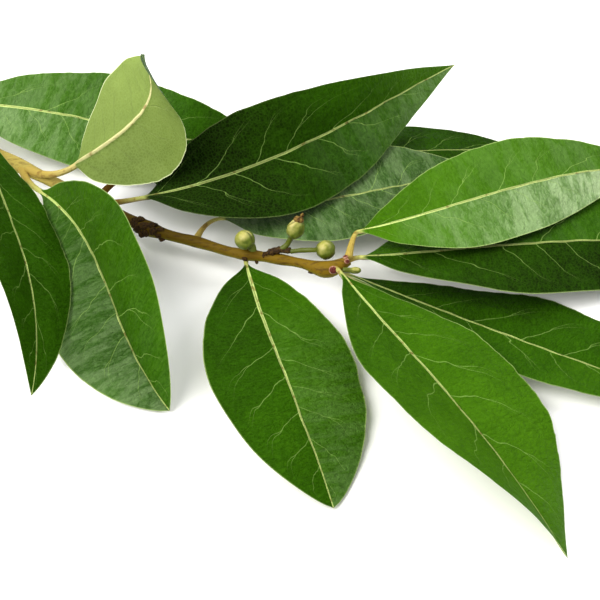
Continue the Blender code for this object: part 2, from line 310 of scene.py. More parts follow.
STALK_TAPER = 0.80      # its radius at the blade, as a share of that at the twig
STALK_FOOT = 0.5        # mm, how much it widens where it leaves the twig
STALK_SHARE = 0.1       # the stalk's own length on the scale that runs from base 0 to tip 1
FLATTENING = 0.10       # share of the blade over which the round stalk turns flat
BLADE_THICKNESS = 0.4   # mm
THINNING = 0.5          # share of that thickness lost on the way to the tip
RIB_DEPTH = 1.0         # mm, the midrib's keel below the blade
print("leaf lengths in mm:", {name: leaf["length"] for name, leaf in LEAVES.items()})


# %% Growing a spine
def bend(values, u):
    """A smooth course through three values at the base, half way and at the tip."""
    base, middle, tip = values
    return base * (1 - u) * (1 - 2 * u) + 4 * middle * u * (1 - u) + tip * u * (2 * u - 1)


def growth_direction(leaf, u):
    """The way the midrib points at u, from its heading and its rise."""
    heading = math.radians(bend(leaf["heading"], u))
    rise = math.radians(bend(leaf["rise"], u))
    flat = math.cos(rise)
    return Vector((flat * math.cos(heading), flat * math.sin(heading), math.sin(rise)))


def blade_frame(leaf, u):
    """The blade's own right and up directions at u, after its roll."""
    forward = growth_direction(leaf, u)
    heading = math.radians(bend(leaf["heading"], u))
    level = Vector((math.sin(heading), -math.cos(heading), 0.0))
    upright = level.cross(forward)
    roll = math.radians(bend(leaf["roll"], u))
    right = level * math.cos(roll) + upright * math.sin(roll)
    up = upright * math.cos(roll) - level * math.sin(roll)
    return right, up


def half_width(leaf, u):
    """Half of the blade's width at u: nothing at the base, widest in the middle, a pointed tip."""
    widest = leaf["widest"]
    taper = leaf["taper"]
    rising = (u / widest) ** (widest * taper)
    falling = ((1 - u) / (1 - widest)) ** ((1 - widest) * taper)
    return leaf["width"] / 2 * rising * falling


def leaf_spine(leaf):
    """The line of a stalk and its midrib. Each point knows the blade's directions and its sizes."""
    spine = []
    start = twig_point(leaf["node_x"])
    base = Vector(leaf["base"])
    sweep = leaf.get("sweep", STALK_SWEEP)
    corner = base - growth_direction(leaf, 0.0) * (base - start).length * sweep
    blade_right, _ = blade_frame(leaf, 0.0)
    for k in range(STALK_STEPS):
        t = k / STALK_STEPS
        point = start * (1 - t) ** 2 + corner * 2 * t * (1 - t) + base * t * t
        along = ((corner - start) * (1 - t) + (base - corner) * t).normalized()
        right = (blade_right - along * blade_right.dot(along)).normalized()
        radius = leaf["stalk"] * (1 - (1 - STALK_TAPER) * t) + STALK_FOOT * (1 - t) ** 3 if k else 0.0
        spine.append((point, right, right.cross(along), (0.0, BLADE_THICKNESS, radius),
                      (1.0, RIB_DEPTH, STALK_SHARE * (t - 1))))
    point = base.copy()
    for k in range(GROWTH_STEPS + 1):
        u = k / GROWTH_STEPS
        right, up = blade_frame(leaf, u)
        half = half_width(leaf, u) if 0 < u < 1 else 0.0
        thickness = BLADE_THICKNESS * (1 - THINNING * u) if u < 1 else 0.0
        roundness = max(0.0, 1 - u / FLATTENING) ** 2
        sizes = (half, thickness, leaf["stalk"] * STALK_TAPER)
        spine.append((point.copy(), right, up, sizes, (roundness, RIB_DEPTH * (1 - u), u)))
        point += growth_direction(leaf, (k + 0.5) / GROWTH_STEPS) * (leaf["length"] / GROWTH_STEPS)
    return spine


# sizes holds half width, thickness and stalk radius, and form holds roundness, rib depth and the
# place from base 0 to tip 1
SPINE_VALUES = ("right", "up", "sizes", "form")


def line_mesh(name, points, values):
    """A bare line through the points, with named vectors on them, for a node tree to follow."""
    mesh = bpy.data.meshes.new(name)
    mesh.from_pydata([p - TABLE_CENTRE for p in points], [(k, k + 1) for k in range(len(points) - 1)], [])
    for key, vectors in values.items():
        layer = mesh.attributes.new(key, "FLOAT_VECTOR", "POINT")
        layer.data.foreach_set("vector", [c for vector in vectors for c in vector])
    return mesh


def grow(name, line, tree, values):
    """Runs a node tree along a line, with its named inputs set, and keeps the result as a mesh."""
    seedling = bpy.data.objects.new(name + "_line", line)
    bpy.context.scene.collection.objects.link(seedling)
    growth = seedling.modifiers.new("growth", "NODES")
    growth.node_group = tree
    for item in tree.interface.items_tree:
        if item.name in values:
            growth[item.identifier] = values[item.name]
    depsgraph = bpy.context.evaluated_depsgraph_get()
    mesh = bpy.data.meshes.new_from_object(seedling.evaluated_get(depsgraph))
    bpy.data.objects.remove(seedling)
    mesh.name = name
    piece = bpy.data.objects.new(name, mesh)
    bpy.context.scene.collection.objects.link(piece)
    return piece


print("each leaf's line:", len(leaf_spine(LEAVES["leaf_centre"])), "points")

# %% [markdown]
# ## A node tree that unfolds a leaf along its spine
#
# Twelve leaves that follow one rule are a job for Geometry Nodes. The tree lays a fine grid along
# the spine. One way, the grid runs from the twig to the tip. The other way, it runs once around the
# leaf: across the upper side from margin to margin and back across the underside, so the blade is a
# closed skin with a real thickness. Near the twig the same skin is rounded into the stalk. Veins,
# the wavy margin and the quilting between the veins are real height on that skin, and the numbers
# that place them are stored on it, so that the finish draws its lines exactly where the shape has
# them.

# %% Leaf tree
ROWS = 231
COLUMNS = 129
CROWDING = 0.45         # how much closer the columns stand at the midrib
RECURVE = 0.3           # share of the fold lost on the way to the margin
VEIN_SWEEP = 0.16       # how far a side vein runs forward on its way out, as a share of the blade
VEIN_LOOP = 0.16        # how much further it turns forward near the margin
QUILTING = 0.09         # height of the blade between its veins, in mm
UNEVEN = 0.7            # height of the slow, irregular swell of the whole blade, in mm
MARGIN_THINNING = 0.8   # share of the blade's thickness lost on the way to the margin
RAGGED = 0.05           # how far the margin wanders in and out, as a share of half the width
CRISP = 1.6             # how far the same wandering lifts the margin, in mm
RIB_ZIGZAG = 0.7        # how far the midrib swerves at its side veins, in mm
ZIGZAGS = 15.0          # scale of those swerves along the blade
RIB_AT_BASE = 0.75      # mm, half of the midrib's width at the base of the blade
RIB_AT_TIP = 0.30       # mm, and at its tip
RIB_ABOVE = 0.22        # height of the midrib above the blade, as a share of its depth below
EDGE_POWER = 7.0        # how suddenly the blade changes at its margin
WAVE_POWER = 3.0        # how closely the waves keep to the margin
WAVE_STAGGER = 1.3      # turn between the waves of the two margins, in radians
MARGIN_NOISE = 13.0     # scale of the margin's wandering along the blade
SWELL_NOISE = 2.6       # scale of the slow swell
VEIN_WANDER = 1.6       # how unevenly the side veins follow each other, in spaces between veins
VEIN_STAGGER = 0.18     # how far the two halves' veins are shifted, in such spaces
VEIN_WIGGLE = 0.20      # a vein's slow bends, in such spaces
VEIN_KINK = 0.18        # a vein's sharp bends, in such spaces
WANDER_NOISE = 4.0      # scale of the veins' unevenness
WIGGLE_NOISE = 4.5      # scale of the slow bends
KINK_NOISE = 17.0       # scale of the sharp bends along the blade
KINK_STRETCH = 0.35     # and their scale outwards, as a share of that
GREEN_FROM = 0.1        # place on the blade where its green starts to change from base to tip
GREEN_TO = 0.8          # and where it has changed
SHINE_HALFWAY = 0.55    # share of a leaf's shine that it has half way to its tip
ON_MARGIN = 0.001       # mm, a point nearer than this to the margin lies on it
OFF_STALK = 0.6         # roundness below which a point belongs to the blade
CRINKLE_STEP = 9.0      # step between the crinkle patterns of a leaf's two halves
MERGE = 0.002           # mm, points nearer to each other than this become one
HAIR = Vector((0.01, 0.01, 0.01))   # mm, kept free between a piece's outermost points and the box
BOX_LOW = tuple(CAD_BOX[0] / MM + HAIR)
BOX_HIGH = tuple(CAD_BOX[1] / MM - HAIR)
TREE_INPUTS = {
    "Fold": ("NodeSocketFloat", 0.0),
    "Lean": ("NodeSocketFloat", 0.0),
    "Veins": ("NodeSocketFloat", 8.0),
    "Wave Height": ("NodeSocketFloat", 0.5),
    "Waves": ("NodeSocketFloat", 3.0),
    "Seed": ("NodeSocketFloat", 0.0),
    "Green at Base": ("NodeSocketFloat", 0.5),
    "Green at Tip": ("NodeSocketFloat", 0.5),
    "Right Half Paler": ("NodeSocketFloat", 0.0),
    "Shine Left": ("NodeSocketFloat", 0.0),
    "Shine Right": ("NodeSocketFloat", 0.0),
    "Shine Onward": ("NodeSocketFloat", 0.5),
    "Stalk Yellow": ("NodeSocketFloat", 0.5),
    "Upper Side": ("NodeSocketMaterial", None),
    "Underside": ("NodeSocketMaterial", None),
}


def new_tree(name, inputs):
    """An empty Geometry Nodes tree that takes a line and the named inputs, and gives a mesh."""
    tree = bpy.data.node_groups.new(name, "GeometryNodeTree")
    tree.interface.new_socket("Geometry", in_out="INPUT", socket_type="NodeSocketGeometry")
    tree.interface.new_socket("Geometry", in_out="OUTPUT", socket_type="NodeSocketGeometry")
    for key, (kind, value) in inputs.items():
        socket = tree.interface.new_socket(key, in_out="INPUT", socket_type=kind)
        if value is not None:
            socket.default_value = value
    return tree, tree.nodes.new("NodeGroupInput"), tree.nodes.new("NodeGroupOutput")


def build_leaf_tree():
    tree, given, result = new_tree("leaf along a spine", TREE_INPUTS)
    given = given.outputs
    MATH = "ShaderNodeMath"

    # The grid, and where each of its points belongs on the leaf
    grid = add(tree, "GeometryNodeMeshGrid", {"Vertices X": ROWS, "Vertices Y": COLUMNS})
    chart = add(tree, "ShaderNodeSeparateXYZ", {0: grid.outputs["UV Map"]})
    along, around = chart.outputs[0], chart.outputs[1]
    top = add(tree, MATH, {0: around, 1: 0.5}, operation="LESS_THAN")
    turn = add(tree, MATH, {0: around, 1: 4.0, 2: -2.0}, operation="MULTIPLY_ADD")
    turned = add(tree, MATH, {0: turn}, operation="ABSOLUTE")
    even = add(tree, MATH, {0: 1.0, 1: turned}, operation="SUBTRACT")
    even_out = add(tree, MATH, {0: even}, operation="ABSOLUTE")
    stretch = add(tree, MATH, {0: even_out, 1: 1 - CROWDING, 2: CROWDING}, operation="MULTIPLY_ADD")
    place = add(tree, MATH, {0: even, 1: stretch}, operation="MULTIPLY")
    out = add(tree, MATH, {0: place}, operation="ABSOLUTE")
    hand = add(tree, MATH, {0: place}, operation="SIGN")

    # What the spine says at that place
    curve = add(tree, "GeometryNodeMeshToCurve", {0: given["Geometry"]})
    read = {}
    for key in SPINE_VALUES:
        named = add(tree, "GeometryNodeInputNamedAttribute", {"Name": key}, data_type="FLOAT_VECTOR")
        read[key] = add(tree, "GeometryNodeSampleCurve", {
            "Curves": curve, "Value": named, "Factor": along}, data_type="FLOAT_VECTOR", mode="FACTOR")
    sizes = add(tree, "ShaderNodeSeparateXYZ", {0: read["sizes"]}).outputs
    form = add(tree, "ShaderNodeSeparateXYZ", {0: read["form"]}).outputs
    half, thickness, stalk_radius = sizes
    roundness, rib_depth, u = form

    # The folded blade
    lean = add(tree, MATH, {0: given["Lean"], 1: hand, 2: 1.0}, operation="MULTIPLY_ADD")
    edge_where = add(tree, "ShaderNodeCombineXYZ", {0: u, 1: hand, 2: given["Seed"]})
    ragged = add(tree, "ShaderNodeTexNoise", {
        "Vector": edge_where, "Scale": MARGIN_NOISE, "Detail": 2.5})
    ragged_even = add(tree, MATH, {0: ragged, 1: 0.5}, operation="SUBTRACT")
    ragged_lean = add(tree, MATH, {0: ragged_even, 1: RAGGED, 2: lean}, operation="MULTIPLY_ADD")
    own_half = add(tree, MATH, {0: half, 1: ragged_lean}, operation="MULTIPLY")
    width = add(tree, MATH, {0: place, 1: own_half}, operation="MULTIPLY")
    reach = add(tree, MATH, {0: width}, operation="ABSOLUTE")
    opening = add(tree, MATH, {0: out, 1: -RECURVE, 2: 1.0}, operation="MULTIPLY_ADD")
    fold = add(tree, MATH, {0: given["Fold"], 1: opening}, operation="MULTIPLY")
    fold_cos = add(tree, MATH, {0: fold}, operation="COSINE")
    fold_sin = add(tree, MATH, {0: fold}, operation="SINE")
    flat_x = add(tree, MATH, {0: width, 1: fold_cos}, operation="MULTIPLY")
    flat_z = add(tree, MATH, {0: reach, 1: fold_sin}, operation="MULTIPLY")

    # Waves along the margin, none at the base and the tip
    wave_turns = add(tree, MATH, {0: given["Waves"], 1: math.tau}, operation="MULTIPLY")
    wave_start = add(tree, MATH, {0: hand, 1: WAVE_STAGGER, 2: given["Seed"]}, operation="MULTIPLY_ADD")
    wave_angle = add(tree, MATH, {0: u, 1: wave_turns, 2: wave_start}, operation="MULTIPLY_ADD")
    wave = add(tree, MATH, {0: wave_angle}, operation="SINE")
    belly_angle = add(tree, MATH, {0: u, 1: math.pi}, operation="MULTIPLY")
    belly = add(tree, MATH, {0: belly_angle}, operation="SINE")
    outward = add(tree, MATH, {0: out, 1: WAVE_POWER}, operation="POWER")
    wave_reach = add(tree, MATH, {0: outward, 1: belly}, operation="MULTIPLY")
    wave_size = add(tree, MATH, {0: wave_reach, 1: given["Wave Height"]}, operation="MULTIPLY")
    crisp_size = add(tree, MATH, {0: wave_reach, 1: CRISP}, operation="MULTIPLY")
    crisped = add(tree, MATH, {0: ragged_even, 1: crisp_size, 2: flat_z}, operation="MULTIPLY_ADD")
    waved = add(tree, MATH, {0: wave, 1: wave_size, 2: crisped}, operation="MULTIPLY_ADD")

    # A slow uneven swell over the whole blade
    where = add(tree, "ShaderNodeCombineXYZ", {0: u, 1: place, 2: given["Seed"]})
    swell = add(tree, "ShaderNodeTexNoise", {"Vector": where, "Scale": SWELL_NOISE, "Detail": 1.0})
    swell_even = add(tree, MATH, {0: swell, 1: 0.5}, operation="SUBTRACT")
    swell_size = add(tree, MATH, {0: belly, 1: UNEVEN}, operation="MULTIPLY")
    swollen = add(tree, MATH, {0: swell_even, 1: swell_size, 2: waved}, operation="MULTIPLY_ADD")

    # Side veins: they leave the midrib at even steps, sweep forward and loop along the margin
    near_margin = add(tree, MATH, {0: out, 1: EDGE_POWER}, operation="POWER")
    sweep = add(tree, MATH, {0: out, 1: VEIN_SWEEP}, operation="MULTIPLY")
    forward = add(tree, MATH, {0: near_margin, 1: VEIN_LOOP, 2: sweep}, operation="MULTIPLY_ADD")
    back = add(tree, MATH, {0: u, 1: forward}, operation="SUBTRACT")
    crinkle_row = add(tree, MATH, {0: u, 1: given["Veins"]}, operation="MULTIPLY")
    vein_count = add(tree, MATH, {0: back, 1: given["Veins"]}, operation="MULTIPLY")
    uneven_where = add(tree, "ShaderNodeCombineXYZ", {0: u, 1: hand, 2: given["Seed"]})
    wander = add(tree, "ShaderNodeTexNoise", {"Vector": uneven_where, "Scale": WANDER_NOISE, "Detail": 0.0})
    wandered = add(tree, MATH, {0: wander, 1: VEIN_WANDER, 2: vein_count}, operation="MULTIPLY_ADD")
    sided = add(tree, MATH, {0: hand, 1: VEIN_STAGGER, 2: wandered}, operation="MULTIPLY_ADD")
    wiggle = add(tree, "ShaderNodeTexNoise", {"Vector": where, "Scale": WIGGLE_NOISE, "Detail": 0.6})
    wiggled = add(tree, MATH, {0: wiggle, 1: VEIN_WIGGLE, 2: sided}, operation="MULTIPLY_ADD")
    kink_across = add(tree, MATH, {0: place, 1: KINK_STRETCH}, operation="MULTIPLY")
    kink_where = add(tree, "ShaderNodeCombineXYZ", {0: u, 1: kink_across, 2: given["Seed"]})
    kinks = add(tree, "ShaderNodeTexNoise", {"Vector": kink_where, "Scale": KINK_NOISE, "Detail": 1.0})
    vein = add(tree, MATH, {0: kinks, 1: VEIN_KINK, 2: wiggled}, operation="MULTIPLY_ADD")
    from_vein = add(tree, MATH, {0: vein, 1: 0.5}, operation="PINGPONG")
    pillow = add(tree, MATH, {0: from_vein, 1: math.pi}, operation="MULTIPLY")
    pillow_height = add(tree, MATH, {0: pillow}, operation="SINE")
    edge_left = add(tree, MATH, {0: 1.0, 1: near_margin}, operation="SUBTRACT")
    quilt_reach = add(tree, MATH, {0: edge_left, 1: belly}, operation="MULTIPLY")
    quilt_size = add(tree, MATH, {0: quilt_reach, 1: QUILTING}, operation="MULTIPLY")
    quilted = add(tree, MATH, {0: pillow_height, 1: quilt_size, 2: swollen}, operation="MULTIPLY_ADD")

    # Thickness, rounded off at the margin, and the midrib: a fine line above and a keel below
    rounding = add(tree, MATH, {0: edge_left}, operation="SQRT")
    thinner = add(tree, MATH, {0: outward, 1: -MARGIN_THINNING, 2: 1.0}, operation="MULTIPLY_ADD")
    rounded = add(tree, MATH, {0: rounding, 1: thinner}, operation="MULTIPLY")
    wall = add(tree, MATH, {0: thickness, 1: rounded}, operation="MULTIPLY")
    below = add(tree, MATH, {0: top, 1: 1.0}, operation="SUBTRACT")
    skinned = add(tree, MATH, {0: below, 1: wall, 2: quilted}, operation="MULTIPLY_ADD")
    rib_width = add(tree, MATH, {
        0: u, 1: RIB_AT_TIP - RIB_AT_BASE, 2: RIB_AT_BASE}, operation="MULTIPLY_ADD")
    zigzag_where = add(tree, "ShaderNodeCombineXYZ", {0: u, 2: given["Seed"]})
    zigzag = add(tree, "ShaderNodeTexNoise", {
        "Vector": zigzag_where, "Scale": ZIGZAGS, "Detail": 0.5})
    zigzag_even = add(tree, MATH, {0: zigzag, 1: 0.5}, operation="SUBTRACT")
    zigzag_size = add(tree, MATH, {0: belly, 1: RIB_ZIGZAG}, operation="MULTIPLY")
    from_rib = add(tree, MATH, {0: zigzag_even, 1: zigzag_size, 2: width}, operation="MULTIPLY_ADD")
    rib_share = add(tree, MATH, {0: from_rib, 1: rib_width}, operation="DIVIDE")
    rib_square = add(tree, MATH, {0: rib_share, 1: rib_share}, operation="MULTIPLY")
    rib_minus = add(tree, MATH, {0: rib_square, 1: -1.0}, operation="MULTIPLY")
    rib_shape = add(tree, MATH, {0: rib_minus}, operation="EXPONENT")
    rib_size = add(tree, MATH, {0: rib_shape, 1: rib_depth}, operation="MULTIPLY")
    rib_side = add(tree, MATH, {0: top, 1: 1 + RIB_ABOVE, 2: -1.0}, operation="MULTIPLY_ADD")
    blade_z = add(tree, MATH, {0: rib_side, 1: rib_size, 2: skinned}, operation="MULTIPLY_ADD")

    # The round stalk, and the mix of both
    turn_angle = add(tree, MATH, {0: place, 1: math.pi / 2}, operation="MULTIPLY")
    turn_sin = add(tree, MATH, {0: turn_angle}, operation="SINE")
    turn_cos = add(tree, MATH, {0: turn_angle}, operation="COSINE")
    side = add(tree, MATH, {0: top, 1: 2.0, 2: -1.0}, operation="MULTIPLY_ADD")
    round_x = add(tree, MATH, {0: turn_sin, 1: stalk_radius}, operation="MULTIPLY")
    round_side = add(tree, MATH, {0: turn_cos, 1: side}, operation="MULTIPLY")
    round_z = add(tree, MATH, {0: round_side, 1: stalk_radius}, operation="MULTIPLY")
    flat = add(tree, "ShaderNodeCombineXYZ", {0: flat_x, 1: blade_z})
    tube = add(tree, "ShaderNodeCombineXYZ", {0: round_x, 1: round_z})
    section = add(tree, "ShaderNodeMix", {0: roundness, 4: flat, 5: tube}, data_type="VECTOR")
    section = add(tree, "ShaderNodeSeparateXYZ", {0: section.outputs[1]}).outputs
    aside = add(tree, "ShaderNodeVectorMath", {0: read["right"], "Scale": section[0]}, operation="SCALE")
    above = add(tree, "ShaderNodeVectorMath", {0: read["up"], "Scale": section[1]}, operation="SCALE")
    moved = add(tree, "ShaderNodeVectorMath", {
        0: read["right"].outputs["Position"], 1: aside}, operation="ADD")
    grown = add(tree, "ShaderNodeVectorMath", {0: moved, 1: above}, operation="ADD")
    rested = add(tree, "ShaderNodeVectorMath", {0: grown, 1: BOX_LOW}, operation="MAXIMUM")
    kept_in = add(tree, "ShaderNodeVectorMath", {0: rested, 1: BOX_HIGH}, operation="MINIMUM")
    shaped = add(tree, "GeometryNodeSetPosition", {0: grid, "Position": kept_in})

    # What the finish needs to know: place on the blade, distances in mm, and the veins
    edge = add(tree, MATH, {0: own_half, 1: reach}, operation="SUBTRACT")
    blade_place = add(tree, "ShaderNodeCombineXYZ", {0: u, 1: place, 2: roundness})
    rib_reach = add(tree, MATH, {0: from_rib}, operation="ABSOLUTE")
    distances = add(tree, "ShaderNodeCombineXYZ", {0: rib_reach, 1: edge, 2: vein})
    crinkle_seed = add(tree, MATH, {0: hand, 1: CRINKLE_STEP, 2: given["Seed"]}, operation="MULTIPLY_ADD")
    crinkle = add(tree, "ShaderNodeCombineXYZ", {0: reach, 1: crinkle_seed, 2: crinkle_row})
    # The green number: each leaf's own green with painted shade and light, changing from base to tip and
    # between the halves. The shine sets the real specular level and a painted sheen.
    tone = add(tree, "ShaderNodeMapRange", {
        0: u, 1: GREEN_FROM, 2: GREEN_TO, 3: given["Green at Base"], 4: given["Green at Tip"]})
    sided_tone = add(tree, MATH, {0: hand, 1: given["Right Half Paler"], 2: tone}, operation="MULTIPLY_ADD")
    shine = add(tree, "ShaderNodeMapRange", {
        0: hand, 1: -1.0, 3: given["Shine Left"], 4: given["Shine Right"]})
    halfway = add(tree, MATH, {0: u, 1: 0.5}, operation="SUBTRACT")
    onward = add(tree, MATH, {
        0: halfway, 1: given["Shine Onward"], 2: SHINE_HALFWAY}, operation="MULTIPLY_ADD")
    shine_here = add(tree, MATH, {0: shine, 1: onward}, operation="MULTIPLY", use_clamp=True)
    colour_and_painted_light = add(tree, "ShaderNodeCombineXYZ", {0: sided_tone, 1: shine_here, 2: given["Stalk Yellow"]})
    kept = shaped
    for key, value in (("blade_place", blade_place), ("blade_distances", distances),
                       ("blade_crinkle", crinkle), ("leaf_colour_and_painted_light", colour_and_painted_light)):
        kept = add(tree, "GeometryNodeStoreNamedAttribute", {0: kept, "Name": key, "Value": value},
                   data_type="FLOAT_VECTOR", domain="POINT")
    merged = add(tree, "GeometryNodeMergeByDistance", {0: kept, "Distance": MERGE})
    scaled = add(tree, "GeometryNodeTransform", {0: merged, "Scale": (MM, MM, MM)})
    smooth = add(tree, "GeometryNodeSetShadeSmooth", {0: scaled})

    # The margin is a crisp edge: the light on the upper side runs right up to it
    kept_distances = add(tree, "GeometryNodeInputNamedAttribute", {"Name": "blade_distances"},
                         data_type="FLOAT_VECTOR")
    kept_edge = add(tree, "ShaderNodeSeparateXYZ", {0: kept_distances}).outputs[1]
    kept_place = add(tree, "GeometryNodeInputNamedAttribute", {"Name": "blade_place"},
                     data_type="FLOAT_VECTOR")
    kept_roundness = add(tree, "ShaderNodeSeparateXYZ", {0: kept_place}).outputs[2]
    at_margin = add(tree, MATH, {0: kept_edge, 1: ON_MARGIN}, operation="LESS_THAN")
    off_stalk = add(tree, MATH, {0: kept_roundness, 1: OFF_STALK}, operation="LESS_THAN")
    crisp_edge = add(tree, MATH, {0: at_margin, 1: off_stalk}, operation="MULTIPLY")
    edged = add(tree, "GeometryNodeSetShadeSmooth", {
        0: smooth, "Selection": crisp_edge, "Shade Smooth": False}, domain="EDGE")
    real = add(tree, "GeometryNodeRealizeInstances", {0: edged})
    under = add(tree, "GeometryNodeSetMaterial", {0: real, "Material": given["Underside"]})
    upper = add(tree, "GeometryNodeSetMaterial", {
        0: under, "Selection": top, "Material": given["Upper Side"]})
    tree.links.new(upper.outputs[0], result.inputs[0])
    return tree


LEAF_TREE = build_leaf_tree()
print("leaf tree:", len(LEAF_TREE.nodes), "nodes")

# %% [markdown]
# ## Finishes for the leaves
#
# A bay leaf's upper side is covered by a clear wax-like cuticle: deep green, smooth, with a broad
# soft shine, part of which is painted into the green as a pale sheen. Each leaf's green also holds
# painted shade and light. Its underside has no shine to speak of and is a pale yellowish green. On
# both, the midrib, the side veins and a thin horny margin are paler than the blade; the margin's
# paleness is partly painted light shining through the thin edge. The veins are drawn from the
# numbers that the node tree stored on the skin, so they stay sharp at any size. The fine net between
# them is a cell pattern in real millimetres.

# %% Leaf finishes
NET_CELL = 0.9          # mm, the meshes of the finest vein net (drawn a little coarser than life)
PATCH = 14.0            # mm, slow changes of the green
GRAIN = 0.35            # mm, the leathery grain of the skin
SPECK = 2.2             # mm, brown corky specks on the stalk and the midrib
WRINKLE = 1.5           # mm, the low pillows that the fine veins leave between them
PUCKER = 14.0           # mm, how far a shallow fold runs out from the midrib
PUCKERS_PER_VEIN = 3.4  # such folds between one side vein and the next
CRINKLE = 1.7           # mm, how long the fine leathery crinkles of the skin are
CRINKLES_PER_VEIN = 15  # and how many lie between one side vein and the next
FORK = 0.36             # how far apart a side vein's forked ends stand, in spaces between veins
FORK_START = (0.30, 0.75)    # share of the way out where the earliest and the latest fork starts
VEIN_HALF = (0.022, 0.007)   # half of a side vein's width at the midrib and at its end, in spaces
VEIN_FADE = (0.40, 0.92)     # share of the way out where a side vein starts to fade and is gone
UPPER_RIB = (0.60, 0.16)     # mm, half of the midrib's width above, at the base and at the tip
LOWER_RIB = (0.85, 0.28)     # mm, and below
RIB_CORE = 0.55              # share of that width that is fully pale
MARGIN_FADE = (0.08, 0.32)   # mm from the edge, where the horny margin starts to fade and is gone
STALK_FADE = (0.60, 0.98)    # roundness at which the blade's finish starts to give way to the stalk's
NET_FADE = (0.02, 0.22)      # share of a net cell, where its line starts to fade and is gone
RIPENING = (-0.05, 0.06)     # place where the stalk's colour turns into the midrib's
UPPER_GREENS = ("#0f1d02", "#264b02", "#426e0a")  # green number 0, 0.5 and 1: dark, middle and pale; a leaf's green number is its own green with painted shade and light
LOWER_GREENS = ("#455718", "#7e9246")             # the underside's green number 0 and 1
PAINTED_SHEEN = "#a2ba86"            # painted sheen: the pale grey-green of the cuticle's soft reflection
STALKS = ("#5e4216", "#ac9648")  # a brown stalk and a yellow one
CORKY = "#7c5c28"            # the specks on stalk and midrib
UPPER_PATCHES = 0.12         # how far a patch moves the green number up or down
UPPER_CRINKLES = 0.08        # and how far a crinkle does
LOWER_PATCHES = 0.15         # how far a patch moves it on the underside
FOLD_SHEEN = 0.60            # the painted sheen's strength on a fold's ridge
CRINKLE_SHEEN = 0.45         # on a crinkle's ridge
EVEN_SHEEN = 0.38            # and in between, where the shine is full
UPPER_ROUGHNESS = (0.36, 0.50)   # of the cuticle, in the grain's hollows and on its tops
UPPER_SPECULAR = (0.015, 0.5)    # without shine and with full shine
UPPER_GRAIN = 0.16           # mm, the height of the skin's grain above
LOWER_GRAIN = 0.12           # mm, and below
# How high the other parts of the relief are, compared with the grain
UPPER_RELIEF = {"veins": 0.5, "net": 0.25, "crinkles": 4.0, "puckers": 4.5, "wrinkles": -2.2}
LOWER_RELIEF = {"veins": 1.2, "net": 0.4}


def new_finish(name):
    """An empty material, its tree and its shader."""
    finish = bpy.data.materials.new(name)
    finish.use_nodes = True
    return finish, finish.node_tree, finish.node_tree.nodes["Principled BSDF"]


